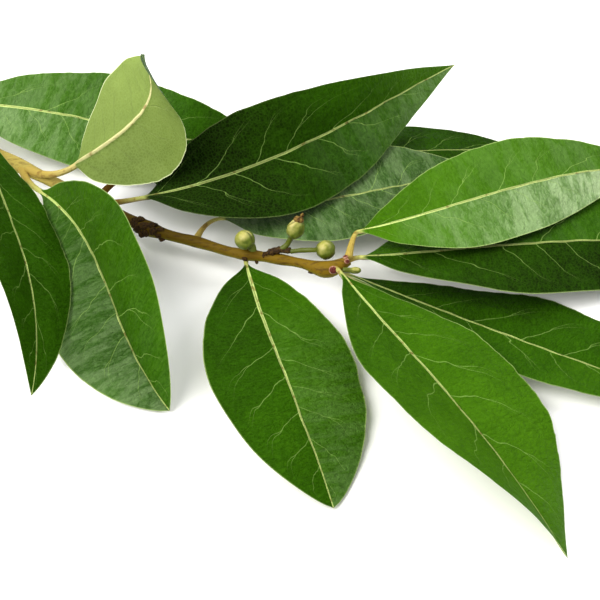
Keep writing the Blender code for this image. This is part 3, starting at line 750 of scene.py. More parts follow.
def leaf_marks(tree, rib_halves):
    """Masks for the parts of a leaf, from 0 to 1, and a few noises that both sides use."""
    MATH = "ShaderNodeMath"
    place = add(tree, "ShaderNodeAttribute", attribute_name="blade_place")
    place = add(tree, "ShaderNodeSeparateXYZ", {0: place.outputs["Vector"]}).outputs
    distances = add(tree, "ShaderNodeAttribute", attribute_name="blade_distances")
    distances = add(tree, "ShaderNodeSeparateXYZ", {0: distances.outputs["Vector"]}).outputs
    crinkle = add(tree, "ShaderNodeAttribute", attribute_name="blade_crinkle").outputs["Vector"]
    # Green number with painted shade and light, shine with painted sheen, and stalk yellow
    colour_numbers = add(tree, "ShaderNodeAttribute", attribute_name="leaf_colour_and_painted_light")
    tone, shine, yellow = add(tree, "ShaderNodeSeparateXYZ", {0: colour_numbers.outputs["Vector"]}).outputs
    u, across, roundness = place
    reach, edge, vein = distances
    out = add(tree, MATH, {0: across}, operation="ABSOLUTE")
    spot = add(tree, "ShaderNodeTexCoord").outputs["Object"]

    rib_half = add(tree, "ShaderNodeMapRange", {0: u, 3: rib_halves[0], 4: rib_halves[1]})
    rib_inner = add(tree, MATH, {0: rib_half, 1: RIB_CORE}, operation="MULTIPLY")
    rib = add(tree, "ShaderNodeMapRange", {0: reach, 1: rib_inner, 2: rib_half, 3: 1.0, 4: 0.0},
              interpolation_type="SMOOTHSTEP")
    from_vein = add(tree, MATH, {0: vein, 1: 0.5}, operation="PINGPONG")
    vein_number = add(tree, MATH, {0: vein}, operation="ROUND")
    vein_seed = add(tree, "ShaderNodeSeparateXYZ", {0: crinkle}).outputs[1]
    fork_where = add(tree, "ShaderNodeCombineXYZ", {0: vein_number, 1: vein_seed})
    fork_chance = add(tree, "ShaderNodeTexWhiteNoise", {"Vector": fork_where}, noise_dimensions="3D")
    fork_from = add(tree, "ShaderNodeMapRange", {
        0: fork_chance.outputs["Value"], 3: FORK_START[0], 4: FORK_START[1]})
    fork_way = add(tree, MATH, {0: out, 1: fork_from}, operation="SUBTRACT")
    fork_ahead = add(tree, MATH, {0: fork_way, 1: 0.0}, operation="MAXIMUM")
    fork_open = add(tree, MATH, {0: fork_ahead, 1: FORK}, operation="MULTIPLY")
    from_fork = add(tree, MATH, {0: from_vein, 1: fork_open}, operation="SUBTRACT")
    from_line = add(tree, MATH, {0: from_fork}, operation="ABSOLUTE")
    vein_half = add(tree, "ShaderNodeMapRange", {0: out, 3: VEIN_HALF[0], 4: VEIN_HALF[1]})
    vein_line = add(tree, "ShaderNodeMapRange", {0: from_line, 1: 0.0, 2: vein_half, 3: 1.0, 4: 0.0},
                    interpolation_type="SMOOTHSTEP")
    vein_reach = add(tree, "ShaderNodeMapRange", {
        0: out, 1: VEIN_FADE[0], 2: VEIN_FADE[1], 3: 1.0, 4: 0.0}, interpolation_type="SMOOTHSTEP")
    veins = add(tree, MATH, {0: vein_line, 1: vein_reach}, operation="MULTIPLY")
    margin = add(tree, "ShaderNodeMapRange", {
        0: edge, 1: MARGIN_FADE[0], 2: MARGIN_FADE[1], 3: 1.0, 4: 0.0})
    blade = add(tree, "ShaderNodeMapRange", {
        0: roundness, 1: STALK_FADE[0], 2: STALK_FADE[1], 3: 1.0, 4: 0.0},
                interpolation_type="SMOOTHSTEP")
    margin_here = add(tree, MATH, {0: margin, 1: blade}, operation="MULTIPLY")
    crinkle_place = add(tree, "ShaderNodeMapping", {
        "Vector": crinkle, "Scale": (1 / CRINKLE, 1.0, CRINKLES_PER_VEIN)})
    crinkles = add(tree, "ShaderNodeTexNoise", {
        "Vector": crinkle_place, "Scale": 1.0, "Detail": 3.0, "Roughness": 0.6, "Distortion": 0.8})
    pucker_place = add(tree, "ShaderNodeMapping", {
        "Vector": crinkle, "Scale": (1 / PUCKER, 1.0, PUCKERS_PER_VEIN)})
    puckers = add(tree, "ShaderNodeTexNoise", {
        "Vector": pucker_place, "Scale": 1.0, "Detail": 2.0, "Roughness": 0.5, "Distortion": 0.3})
    wrinkles = add(tree, "ShaderNodeTexVoronoi", {
        "Vector": spot, "Scale": 1 / (WRINKLE * MM), "Randomness": 1.0}, feature="SMOOTH_F1")
    net = add(tree, "ShaderNodeTexVoronoi", {"Vector": spot, "Scale": 1 / (NET_CELL * MM)},
              feature="DISTANCE_TO_EDGE")
    net_line = add(tree, "ShaderNodeMapRange", {
        0: net, 1: NET_FADE[0], 2: NET_FADE[1], 3: 1.0, 4: 0.0})
    patches = add(tree, "ShaderNodeTexNoise", {
        "Vector": spot, "Scale": 1 / (PATCH * MM), "Detail": 4.0, "Roughness": 0.6})
    grain = add(tree, "ShaderNodeTexNoise", {
        "Vector": spot, "Scale": 1 / (GRAIN * MM), "Detail": 2.0, "Roughness": 0.6})
    cork = add(tree, "ShaderNodeTexNoise", {"Vector": spot, "Scale": 1 / (SPECK * MM), "Detail": 1.0})
    specks = add(tree, "ShaderNodeMapRange", {0: cork, 1: 0.61, 2: 0.69, 3: 0.0, 4: 0.65})
    return dict(u=u, blade=blade, rib=rib, veins=veins, margin=margin_here, net=net_line,
                patches=patches, grain=grain, specks=specks, crinkles=crinkles, puckers=puckers,
                wrinkles=wrinkles, tone=tone, shine=shine, yellow=yellow)


def leaf_surface(tree, marks, shader, base, tints, strengths):
    """Lays the net, the side veins, the margin and the midrib over the blade's colour, which already holds
    painted shade and sheen. A leaf whose stalk is yellow has a paler margin; on the others it is
    dimmer, which keeps the margins of the dark, shaded leaves dark as painted shade."""
    MIX = "ShaderNodeMix"
    # Painted shade: the margin is dimmer on leaves whose stalk is less yellow, the darker leaves that lie
    # in shade.
    shaded_margin_strength = add(tree, "ShaderNodeMapRange", {
        0: marks["yellow"], 1: 0.3, 2: 0.9, 3: 0.3 * strengths["margin"], 4: strengths["margin"]})
    surface = base
    for part, strength in (("net", strengths["net"]), ("veins", strengths["veins"]), ("margin", shaded_margin_strength)):
        share = add(tree, "ShaderNodeMath", {0: marks[part], 1: strength}, operation="MULTIPLY")
        surface = add(tree, MIX, {
            0: share, 6: surface, 7: linear(tints[part])}, data_type="RGBA").outputs[2]
    stalk = add(tree, MIX, {
        0: marks["yellow"], 6: linear(STALKS[0]), 7: linear(STALKS[1])}, data_type="RGBA")
    ripening = add(tree, "ShaderNodeMapRange", {0: marks["u"], 1: RIPENING[0], 2: RIPENING[1]})
    clean_rib = add(tree, MIX, {
        0: ripening, 6: stalk.outputs[2], 7: linear(tints["midrib"])}, data_type="RGBA")
    rib_colour = add(tree, MIX, {
        0: marks["specks"], 6: clean_rib.outputs[2], 7: linear(CORKY)}, data_type="RGBA")
    rib_paleness = add(tree, "ShaderNodeMapRange", {0: marks["tone"], 1: 0.0, 2: 0.6, 3: 0.5, 4: 1.0})
    rib_strength = add(tree, "ShaderNodeMath", {0: marks["rib"], 1: rib_paleness}, operation="MULTIPLY")
    ribbed = add(tree, MIX, {
        0: rib_strength, 6: surface, 7: rib_colour.outputs[2]}, data_type="RGBA")
    whole = add(tree, MIX, {
        0: marks["blade"], 6: rib_colour.outputs[2], 7: ribbed.outputs[2]}, data_type="RGBA")
    tree.links.new(whole.outputs[2], shader.inputs["Base Color"])


def leaf_relief(tree, marks, shader, relief, grain, strength):
    """Raises the listed parts above the grain of the skin, whose height is given in mm."""
    height = marks["grain"].outputs[0]
    for key, share in relief.items():
        height = add(tree, "ShaderNodeMath", {0: marks[key], 1: share, 2: height}, operation="MULTIPLY_ADD")
    bump = add(tree, "ShaderNodeBump", {"Height": height, "Distance": grain * MM, "Strength": strength})
    tree.links.new(bump.outputs[0], shader.inputs["Normal"])


def upper_side():
    """Bay leaf, waxy upper side: deep green under a clear cuticle with a broad, soft shine, part real and
    part painted as a pale sheen.
    """
    finish, tree, shader = new_finish("bay leaf, waxy upper side")
    marks = leaf_marks(tree, UPPER_RIB)
    patch_shift = add(tree, "ShaderNodeMapRange", {
        0: marks["patches"], 1: 0.3, 2: 0.7, 3: -UPPER_PATCHES, 4: UPPER_PATCHES})
    shifted = add(tree, "ShaderNodeMath", {0: marks["tone"], 1: patch_shift}, operation="ADD")
    crinkle_shift = add(tree, "ShaderNodeMapRange", {
        0: marks["crinkles"], 1: 0.35, 2: 0.65, 3: -UPPER_CRINKLES, 4: UPPER_CRINKLES})
    crinkled = add(tree, "ShaderNodeMath", {0: shifted, 1: crinkle_shift}, operation="ADD")
    low = add(tree, "ShaderNodeMapRange", {0: crinkled, 1: 0.0, 2: 0.5})
    high = add(tree, "ShaderNodeMapRange", {0: crinkled, 1: 0.5, 2: 1.0})
    old, grown, young = (linear(green) for green in UPPER_GREENS)
    older = add(tree, "ShaderNodeMix", {0: low, 6: old, 7: grown}, data_type="RGBA")
    green = add(tree, "ShaderNodeMix", {0: high, 6: older.outputs[2], 7: young}, data_type="RGBA")
    # Painted sheen: the green is mixed towards a pale reflection, palest on the ridges of the folds and of
    # the crinkles
    folds = add(tree, "ShaderNodeMapRange", {
        0: marks["puckers"], 1: 0.43, 2: 0.58, 3: 0.0, 4: FOLD_SHEEN}, interpolation_type="SMOOTHSTEP")
    crests = add(tree, "ShaderNodeMapRange", {
        0: marks["crinkles"], 1: 0.42, 2: 0.62, 3: 0.0, 4: CRINKLE_SHEEN})
    ridges = add(tree, "ShaderNodeMath", {0: folds, 1: crests}, operation="ADD")
    ridge_light = add(tree, "ShaderNodeMath", {0: marks["shine"], 1: EVEN_SHEEN, 2: ridges},
                      operation="MULTIPLY_ADD", use_clamp=True)
    painted_sheen_share = add(tree, "ShaderNodeMath", {0: ridge_light, 1: marks["shine"]}, operation="MULTIPLY")
    with_painted_sheen = add(tree, "ShaderNodeMix", {
        0: painted_sheen_share, 6: green.outputs[2], 7: linear(PAINTED_SHEEN)}, data_type="RGBA")
    # The margin's pale tint is partly the leaf's own horny edge and partly painted light shining through
    # the thin edge.
    leaf_surface(tree, marks, shader, with_painted_sheen.outputs[2],
                 tints=dict(net="#4a7a1e", veins="#90b25a", margin="#aec476", midrib="#c8da80"),
                 strengths=dict(net=0.10, veins=0.56, margin=0.6))
    rough = add(tree, "ShaderNodeMapRange", {
        0: marks["grain"], 1: 0.3, 2: 0.7, 3: UPPER_ROUGHNESS[0], 4: UPPER_ROUGHNESS[1]})
    tree.links.new(rough.outputs[0], shader.inputs["Roughness"])
    shader.inputs["IOR"].default_value = 1.45
    level = add(tree, "ShaderNodeMapRange", {
        0: marks["shine"], 3: UPPER_SPECULAR[0], 4: UPPER_SPECULAR[1]})
    tree.links.new(level.outputs[0], shader.inputs["Specular IOR Level"])
    leaf_relief(tree, marks, shader, UPPER_RELIEF, UPPER_GRAIN, strength=1.0)
    return finish


def underside():
    """Bay leaf, underside: pale yellowish green and matt, with raised veins."""
    finish, tree, shader = new_finish("bay leaf, matt underside")
    marks = leaf_marks(tree, LOWER_RIB)
    patch = add(tree, "ShaderNodeMapRange", {
        0: marks["patches"], 1: 0.3, 2: 0.7, 3: -LOWER_PATCHES, 4: LOWER_PATCHES})
    paleness = add(tree, "ShaderNodeMath", {0: marks["tone"], 1: patch}, operation="ADD")
    green = add(tree, "ShaderNodeMix", {
        0: paleness, 6: linear(LOWER_GREENS[0]), 7: linear(LOWER_GREENS[1])}, data_type="RGBA")
    # The margin's pale tint is partly the leaf's own horny edge and partly painted light shining through
    # the thin edge.
    leaf_surface(tree, marks, shader, green.outputs[2],
                 tints=dict(net="#8ba35a", veins="#a2b26c", margin="#dce4b4", midrib="#d2cc92"),
                 strengths=dict(net=0.16, veins=0.34, margin=0.8))
    shader.inputs["Roughness"].default_value = 0.62
    shader.inputs["IOR"].default_value = 1.42
    shader.inputs["Specular IOR Level"].default_value = 0.15
    leaf_relief(tree, marks, shader, LOWER_RELIEF, LOWER_GRAIN, strength=0.8)
    return finish


UPPER_SIDE = upper_side()
UNDERSIDE = underside()
print("finishes:", UPPER_SIDE.name, "and", UNDERSIDE.name)

# %% Grow the leaves
VEINS_ON_A_SIDE = 8.0
SEED_STEP = 3.7         # step between one leaf's seed and the next
COLOUR_AND_PAINTED_LIGHT_INPUTS = ("Green at Base", "Green at Tip", "Right Half Paler",
              "Shine Left", "Shine Right", "Shine Onward", "Stalk Yellow")
# Per leaf: green at the base and at the tip, how much paler the right half is, shine on the left and right
# halves and how it grows towards the tip, and stalk yellow. The greens and the paler half are partly the
# leaf's own colour and partly painted shade and light; the shine sets the real specular level and a painted
# sheen.
LEAF_COLOURS_AND_PAINTED_LIGHT = {
    "leaf_rear_left": (0.83, 0.45, 0.03, 0.15, 0.26, -2.2, 0.6),
    "leaf_far_left": (0.46, 0.42, 0.0, 0.0, 0.0, 0.0, 0.6),
    "leaf_raised": (0.44, 0.68, 0.14, 0.0, 0.0, 0.0, 1.0),
    "leaf_front_left": (0.60, 0.52, -0.04, 0.03, 0.29, 0.6, 0.9),
    "leaf_centre": (-0.26, 0.86, -0.02, 0.0, 0.07, 5.0, 0.3),
    "leaf_rear_dark": (0.20, 0.20, 0.0, 0.0, 0.0, 0.0, 0.0),
    "leaf_under_centre": (0.50, 0.31, -0.05, 0.46, 0.37, -0.3, 0.95),
    "leaf_front_centre": (0.42, 0.61, -0.13, 0.08, 0.0, 2.0, 0.8),
    "leaf_right_top": (0.88, 0.92, 0.05, 0.12, 1.0, 1.3, 1.0),
    "leaf_right_middle": (0.46, 0.28, -0.20, 0.05, 0.0, 0.0, 0.8),
    "leaf_right_low": (0.36, 0.54, 0.07, 0.0, 0.0, 0.0, 0.8),
    "leaf_front_right": (0.58, 0.88, -0.03, 0.0, 0.0, 0.0, 0.8),
}
for number, (name, leaf) in enumerate(LEAVES.items()):
    spine = leaf_spine(leaf)
    values = {key: [point[k + 1] for point in spine] for k, key in enumerate(SPINE_VALUES)}
    line = line_mesh(name, [point[0] for point in spine], values)
    piece = grow(name + "_grown", line, LEAF_TREE, {
        "Fold": math.radians(leaf["fold"]),
        "Lean": leaf["lean"],
        "Veins": VEINS_ON_A_SIDE,
        "Seed": SEED_STEP * number,
        "Upper Side": UPPER_SIDE,
        "Underside": UNDERSIDE,
        **dict(zip(COLOUR_AND_PAINTED_LIGHT_INPUTS, LEAF_COLOURS_AND_PAINTED_LIGHT[name])),
    })
    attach(piece, "root")
    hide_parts(name)
    print(name, len(piece.data.polygons), "faces")

# %% [markdown]
# ## The twig and its bark
#
# A young bay twig is a smooth green-brown rod that turns woody with age: the cut end is still
# yellowish green, the middle is brown, and faint grooves run along it. It could be a stretched
# cylinder, but a circle swept along the twig's own line keeps every bend and swelling. The sweep
# gives each point its place along and around the twig, which the bark's grooves and its change of
# colour then follow. Small corky pores are scattered over it, with a fixed seed.

# %% Twig tree
GROOVES = 2.2           # scale of the grooves around the twig
GROOVE_STRETCH = 0.12   # and along it, as a share of that
LUMPS = 0.9             # scale of the corky knots on the spur
PORE_LEAST = (0.6, 0.6, 0.25)  # the smallest pore across, along and out of the bark, in pore sizes
PORE_MOST = (1.1, 2.0, 0.5)    # and the largest
CUT_SHARE = 0.001       # share of the twig's length that counts as its cut end
TWIG_INPUTS = {
    "Sides": ("NodeSocketInt", 28),
    "Groove Depth": ("NodeSocketFloat", 0.22),
    "Knots": ("NodeSocketFloat", 0.0),
    "Pores per mm2": ("NodeSocketFloat", 0.05),
    "Pore Size": ("NodeSocketFloat", 0.16),
    "Seed": ("NodeSocketInt", 3),
    "Bark": ("NodeSocketMaterial", None),
    "Cut Wood": ("NodeSocketMaterial", None),
}


def build_twig_tree():
    tree, given, result = new_tree("twig along a line", TWIG_INPUTS)
    given = given.outputs
    MATH = "ShaderNodeMath"
    measure = add(tree, "GeometryNodeInputNamedAttribute", {"Name": "measure"}, data_type="FLOAT_VECTOR")
    radius = add(tree, "ShaderNodeSeparateXYZ", {0: measure}).outputs[0]
    curve = add(tree, "GeometryNodeMeshToCurve", {0: given["Geometry"]})
    circle = add(tree, "GeometryNodeCurvePrimitiveCircle", {"Resolution": given["Sides"], "Radius": 1.0})
    spoke = add(tree, "GeometryNodeInputPosition")
    circle = add(tree, "GeometryNodeStoreNamedAttribute", {
        0: circle, "Name": "around", "Value": spoke}, data_type="FLOAT_VECTOR", domain="POINT")
    rod = add(tree, "GeometryNodeCurveToMesh", {
        "Curve": curve, "Profile Curve": circle, "Scale": radius, "Fill Caps": True})

    # Grooves run along the rod, and knots ring it
    around = add(tree, "GeometryNodeInputNamedAttribute", {"Name": "around"}, data_type="FLOAT_VECTOR")
    sizes = add(tree, "ShaderNodeSeparateXYZ", {0: measure}).outputs
    around_parts = add(tree, "ShaderNodeSeparateXYZ", {0: around}).outputs
    drawn_out = add(tree, MATH, {0: sizes[1], 1: GROOVE_STRETCH}, operation="MULTIPLY")
    groove_where = add(tree, "ShaderNodeCombineXYZ", {0: drawn_out, 1: around_parts[0], 2: around_parts[1]})
    grooves = add(tree, "ShaderNodeTexNoise", {"Vector": groove_where, "Scale": GROOVES, "Detail": 2.0})
    groove_even = add(tree, MATH, {0: grooves, 1: 0.5}, operation="SUBTRACT")
    groove_size = add(tree, MATH, {0: groove_even, 1: given["Groove Depth"]}, operation="MULTIPLY")
    here = add(tree, "GeometryNodeInputPosition")
    lumps = add(tree, "ShaderNodeTexNoise", {"Vector": here, "Scale": LUMPS, "Detail": 1.5})
    lump_even = add(tree, MATH, {0: lumps, 1: 0.5}, operation="SUBTRACT")
    lump_size = add(tree, MATH, {0: lump_even, 1: given["Knots"], 2: groove_size}, operation="MULTIPLY_ADD")
    facing = add(tree, "GeometryNodeInputNormal")
    lift = add(tree, "ShaderNodeVectorMath", {0: facing, "Scale": lump_size}, operation="SCALE")
    lifted = add(tree, "ShaderNodeVectorMath", {0: here, 1: lift}, operation="ADD")
    kept_in = add(tree, "ShaderNodeVectorMath", {0: lifted, 1: BOX_LOW}, operation="MAXIMUM")
    barked = add(tree, "GeometryNodeSetPosition", {0: rod, "Position": kept_in})
    merged = add(tree, "GeometryNodeMergeByDistance", {0: barked, "Distance": MERGE})

    # Corky pores: low, long bumps that lie along the bark
    spots = add(tree, "GeometryNodeDistributePointsOnFaces", {
        0: merged, "Density": given["Pores per mm2"], "Seed": given["Seed"]})
    bump = add(tree, "GeometryNodeMeshIcoSphere", {"Radius": given["Pore Size"], "Subdivisions": 2})
    shape = add(tree, "FunctionNodeRandomValue", {
        0: PORE_LEAST, 1: PORE_MOST, "Seed": given["Seed"]}, data_type="FLOAT_VECTOR")
    pores = add(tree, "GeometryNodeInstanceOnPoints", {
        0: spots, "Instance": bump, "Rotation": spots.outputs["Rotation"], "Scale": shape})
    all_parts = add(tree, "GeometryNodeJoinGeometry")
    tree.links.new(pores.outputs[0], all_parts.inputs[0])
    tree.links.new(merged.outputs[0], all_parts.inputs[0])
    scaled = add(tree, "GeometryNodeTransform", {0: all_parts, "Scale": (MM, MM, MM)})
    smooth = add(tree, "GeometryNodeSetShadeSmooth", {0: scaled})
    real = add(tree, "GeometryNodeRealizeInstances", {0: smooth})
    bark = add(tree, "GeometryNodeSetMaterial", {0: real, "Material": given["Bark"]})
    at_end = add(tree, MATH, {0: sizes[2], 1: CUT_SHARE}, operation="LESS_THAN")
    on_rod = add(tree, "ShaderNodeVectorMath", {0: around}, operation="LENGTH")
    at_cut = add(tree, MATH, {0: at_end, 1: on_rod.outputs["Value"]}, operation="MULTIPLY")
    cut = add(tree, "GeometryNodeSetMaterial", {
        0: bark, "Selection": at_cut, "Material": given["Cut Wood"]})
    tree.links.new(cut.outputs[0], result.inputs[0])
    return tree


TWIG_TREE = build_twig_tree()
print("twig tree:", len(TWIG_TREE.nodes), "nodes")


def rod_line(name, points, radii):
    """A line for the twig tree: each point's radius, its place along in mm and its share of the way."""
    far = [0.0]
    for start, end in zip(points, points[1:]):
        far.append(far[-1] + (end - start).length)
    measure = [(radius, place, place / far[-1]) for radius, place in zip(radii, far)]
    return line_mesh(name, points, {"measure": measure})


# %% Bark, cut wood and scar finishes
BARK_PATCH = 5.0            # mm, slow changes of the bark's colour
STREAK = 0.8                # mm, width of the fine dark streaks
STREAK_STRETCH = 0.16       # their width as a share of their length
STREAK_TURN = math.radians(35)  # they run along the twig, which lies at this angle to X
BROWN_FROM = (0.40, 0.54)   # share of the twig's length over which green bark turns brown
TIP_FROM = (0.62, 0.92)     # and over which it turns into the lighter bark of the tip
GREEN_BARK = ("#9a8838", "#b2a258")  # the two colours that its patches mix
BROWN_BARK = ("#3e3004", "#5e4a08")
TIP_BARK = "#725a10"
LOWER_BARK_HIGHLIGHT = "#7c7a1e"      # painted highlight: the bark that faces down is painted lighter and yellower
LOWER_HIGHLIGHT_SHARE = 0.7
STREAK_TINT = "#3c2714"


def bark_finish():
    """Young bay bark: a thin, nearly matt skin, yellowish green at the cut end, brown further on."""
    finish, tree, shader = new_finish("young bay bark")
    measure = add(tree, "ShaderNodeAttribute", attribute_name="measure")
    share = add(tree, "ShaderNodeSeparateXYZ", {0: measure.outputs["Vector"]}).outputs[2]
    spot = add(tree, "ShaderNodeTexCoord").outputs["Object"]
    patches = add(tree, "ShaderNodeTexNoise", {
        "Vector": spot, "Scale": 1 / (BARK_PATCH * MM), "Detail": 3.0})
    streaks_where = add(tree, "ShaderNodeMapping", {
        "Vector": spot, "Rotation": (0, 0, STREAK_TURN), "Scale": (STREAK_STRETCH, 1.0, 1.0)})
    streaks = add(tree, "ShaderNodeTexNoise", {
        "Vector": streaks_where, "Scale": 1 / (STREAK * MM), "Detail": 3.0, "Roughness": 0.65})
    facing = add(tree, "ShaderNodeNewGeometry").outputs["Normal"]
    facing_up = add(tree, "ShaderNodeSeparateXYZ", {0: facing}).outputs[2]
    colour_numbers = add(tree, "ShaderNodeMapRange", {0: share, 1: BROWN_FROM[0], 2: BROWN_FROM[1]},
              interpolation_type="SMOOTHSTEP")
    green = add(tree, "ShaderNodeMix", {
        0: patches, 6: linear(GREEN_BARK[0]), 7: linear(GREEN_BARK[1])}, data_type="RGBA")
    brown = add(tree, "ShaderNodeMix", {
        0: patches, 6: linear(BROWN_BARK[0]), 7: linear(BROWN_BARK[1])}, data_type="RGBA")
    aged = add(tree, "ShaderNodeMix", {0: colour_numbers, 6: green.outputs[2], 7: brown.outputs[2]}, data_type="RGBA")
    tip_age = add(tree, "ShaderNodeMapRange", {0: share, 1: TIP_FROM[0], 2: TIP_FROM[1]},
                  interpolation_type="SMOOTHSTEP")
    tip = add(tree, "ShaderNodeMix", {
        0: tip_age, 6: aged.outputs[2], 7: linear(TIP_BARK)}, data_type="RGBA")
    # Painted highlight: the side that faces down is mixed towards a lighter, yellower bark.
    below = add(tree, "ShaderNodeMapRange", {0: facing_up, 1: 0.25, 2: -0.35})
    lower_highlight = add(tree, "ShaderNodeMath", {0: below, 1: LOWER_HIGHLIGHT_SHARE}, operation="MULTIPLY")
    highlighted = add(tree, "ShaderNodeMix", {
        0: lower_highlight, 6: tip.outputs[2], 7: linear(LOWER_BARK_HIGHLIGHT)}, data_type="RGBA")
    dark = add(tree, "ShaderNodeMapRange", {0: streaks, 1: 0.50, 2: 0.66, 3: 0.0, 4: 0.6})
    speckled = add(tree, "ShaderNodeMix", {
        0: dark, 6: highlighted.outputs[2], 7: linear(STREAK_TINT)}, data_type="RGBA")
    tree.links.new(speckled.outputs[2], shader.inputs["Base Color"])
    shader.inputs["Roughness"].default_value = 0.6
    shader.inputs["Specular IOR Level"].default_value = 0.08
    bump = add(tree, "ShaderNodeBump", {"Height": streaks, "Distance": 0.2 * MM, "Strength": 0.8})
    tree.links.new(bump.outputs[0], shader.inputs["Normal"])
    return finish


def mottled_finish(name, dark, light, patch, roughness):
    """A small plant surface in two close colours, mottled in patches of a size in mm."""
    finish, tree, shader = new_finish(name)
    spot = add(tree, "ShaderNodeTexCoord").outputs["Object"]
    noise = add(tree, "ShaderNodeTexNoise", {"Vector": spot, "Scale": 1 / (patch * MM), "Detail": 3.0})
    share = add(tree, "ShaderNodeMapRange", {0: noise, 1: 0.35, 2: 0.65})
    colour = add(tree, "ShaderNodeMix", {0: share, 6: linear(dark), 7: linear(light)}, data_type="RGBA")
    tree.links.new(colour.outputs[2], shader.inputs["Base Color"])
    shader.inputs["Roughness"].default_value = roughness
    shader.inputs["Specular IOR Level"].default_value = 0.2
    bump = add(tree, "ShaderNodeBump", {"Height": noise, "Distance": 0.15 * MM, "Strength": 0.7})
    tree.links.new(bump.outputs[0], shader.inputs["Normal"])
    return finish


BARK = bark_finish()
CUT_WOOD = mottled_finish("fresh cut bay wood", "#c9bb84", "#e2d8a8", 0.6, 0.7)
CORK = mottled_finish("corky brown scar", "#1a0e04", "#46300c", 0.5, 0.8)
SOCKET = mottled_finish("healed leaf scar, pinkish", "#7a4c34", "#b08a70", 0.6, 0.6)
SOCKET_HEART = mottled_finish("old bundle scar, red brown", "#3c1410", "#6a2a20", 0.3, 0.6)
WITHERED = mottled_finish("withered brown tip", "#3c240c", "#8c7034", 0.7, 0.8)
print("finishes:", BARK.name, "and five mottled ones")

# %% The twig
twig_line = rod_line("twig", TWIG_LINE, [twig_radius(p.x) for p in TWIG_LINE])
twig = grow("twig_grown", twig_line, TWIG_TREE, {"Bark": BARK, "Cut Wood": CUT_WOOD})
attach(twig, "root")
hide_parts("twig")
print("twig:", len(twig.data.polygons), "faces")

# %% [markdown]
# ## Knots, scars and the spur
#
# Where a leaf or an old flower stalk has dropped off, a bay twig keeps a scar: a low corky knot, or
# at the tip a fresh pinkish rim around a dark red-brown heart. They could be painted on, but at the
# twig's outline they stand out from it, so they are small lumps of real shape. One node tree sets
# a lump on each place of a short list, turned to lie flat on the bark. The spur is a short corky
# side shoot that carries two of the buds. It is a small twig, so the twig tree makes it as well.

# %% Scar tree
SCAR_NOISE = 1.3        # scale of a lump's roughness
SCAR_INPUTS = {
    "Roughness": ("NodeSocketFloat", 0.35),
    "Material": ("NodeSocketMaterial", None),
}


def build_scar_tree():
    tree, given, result = new_tree("lumps on the bark", SCAR_INPUTS)
    given = given.outputs
    facing = add(tree, "GeometryNodeInputNamedAttribute", {"Name": "facing"}, data_type="FLOAT_VECTOR")
    size = add(tree, "GeometryNodeInputNamedAttribute", {"Name": "size"}, data_type="FLOAT_VECTOR")
    turned = add(tree, "FunctionNodeAlignRotationToVector", {"Vector": facing}, axis="Z")
    lump = add(tree, "GeometryNodeMeshIcoSphere", {"Radius": 1.0, "Subdivisions": 4})
    lumps = add(tree, "GeometryNodeInstanceOnPoints", {
        0: given["Geometry"], "Instance": lump, "Rotation": turned, "Scale": size})
    real = add(tree, "GeometryNodeRealizeInstances", {0: lumps})
    here = add(tree, "GeometryNodeInputPosition")
    noise = add(tree, "ShaderNodeTexNoise", {"Vector": here, "Scale": SCAR_NOISE, "Detail": 2.0})
    even = add(tree, "ShaderNodeMath", {0: noise, 1: 0.5}, operation="SUBTRACT")
    height = add(tree, "ShaderNodeMath", {0: even, 1: given["Roughness"]}, operation="MULTIPLY")
    outward = add(tree, "GeometryNodeInputNormal")
    lift = add(tree, "ShaderNodeVectorMath", {0: outward, "Scale": height}, operation="SCALE")
    rough = add(tree, "GeometryNodeSetPosition", {0: real, "Offset": lift})
    scaled = add(tree, "GeometryNodeTransform", {0: rough, "Scale": (MM, MM, MM)})
    smooth = add(tree, "GeometryNodeSetShadeSmooth", {0: scaled})
    solid = add(tree, "GeometryNodeRealizeInstances", {0: smooth})
    finished = add(tree, "GeometryNodeSetMaterial", {0: solid, "Material": given["Material"]})
    tree.links.new(finished.outputs[0], result.inputs[0])
    return tree


SCAR_TREE = build_scar_tree()
print("scar tree:", len(SCAR_TREE.nodes), "nodes")


# %% Places on the bark
def on_bark(x, angle):
    """A point on the twig's skin and the way it faces: 0 is up, 90 faces the front."""
    middle = twig_point(x)
    along = (twig_point(x + 0.5) - twig_point(x - 0.5)).normalized()
    front = along.cross(Vector((0, 0, 1))).normalized()
    up = front.cross(along)
    facing = up * math.cos(math.radians(angle)) + front * math.sin(math.radians(angle))
    return middle + facing * twig_radius(x), facing


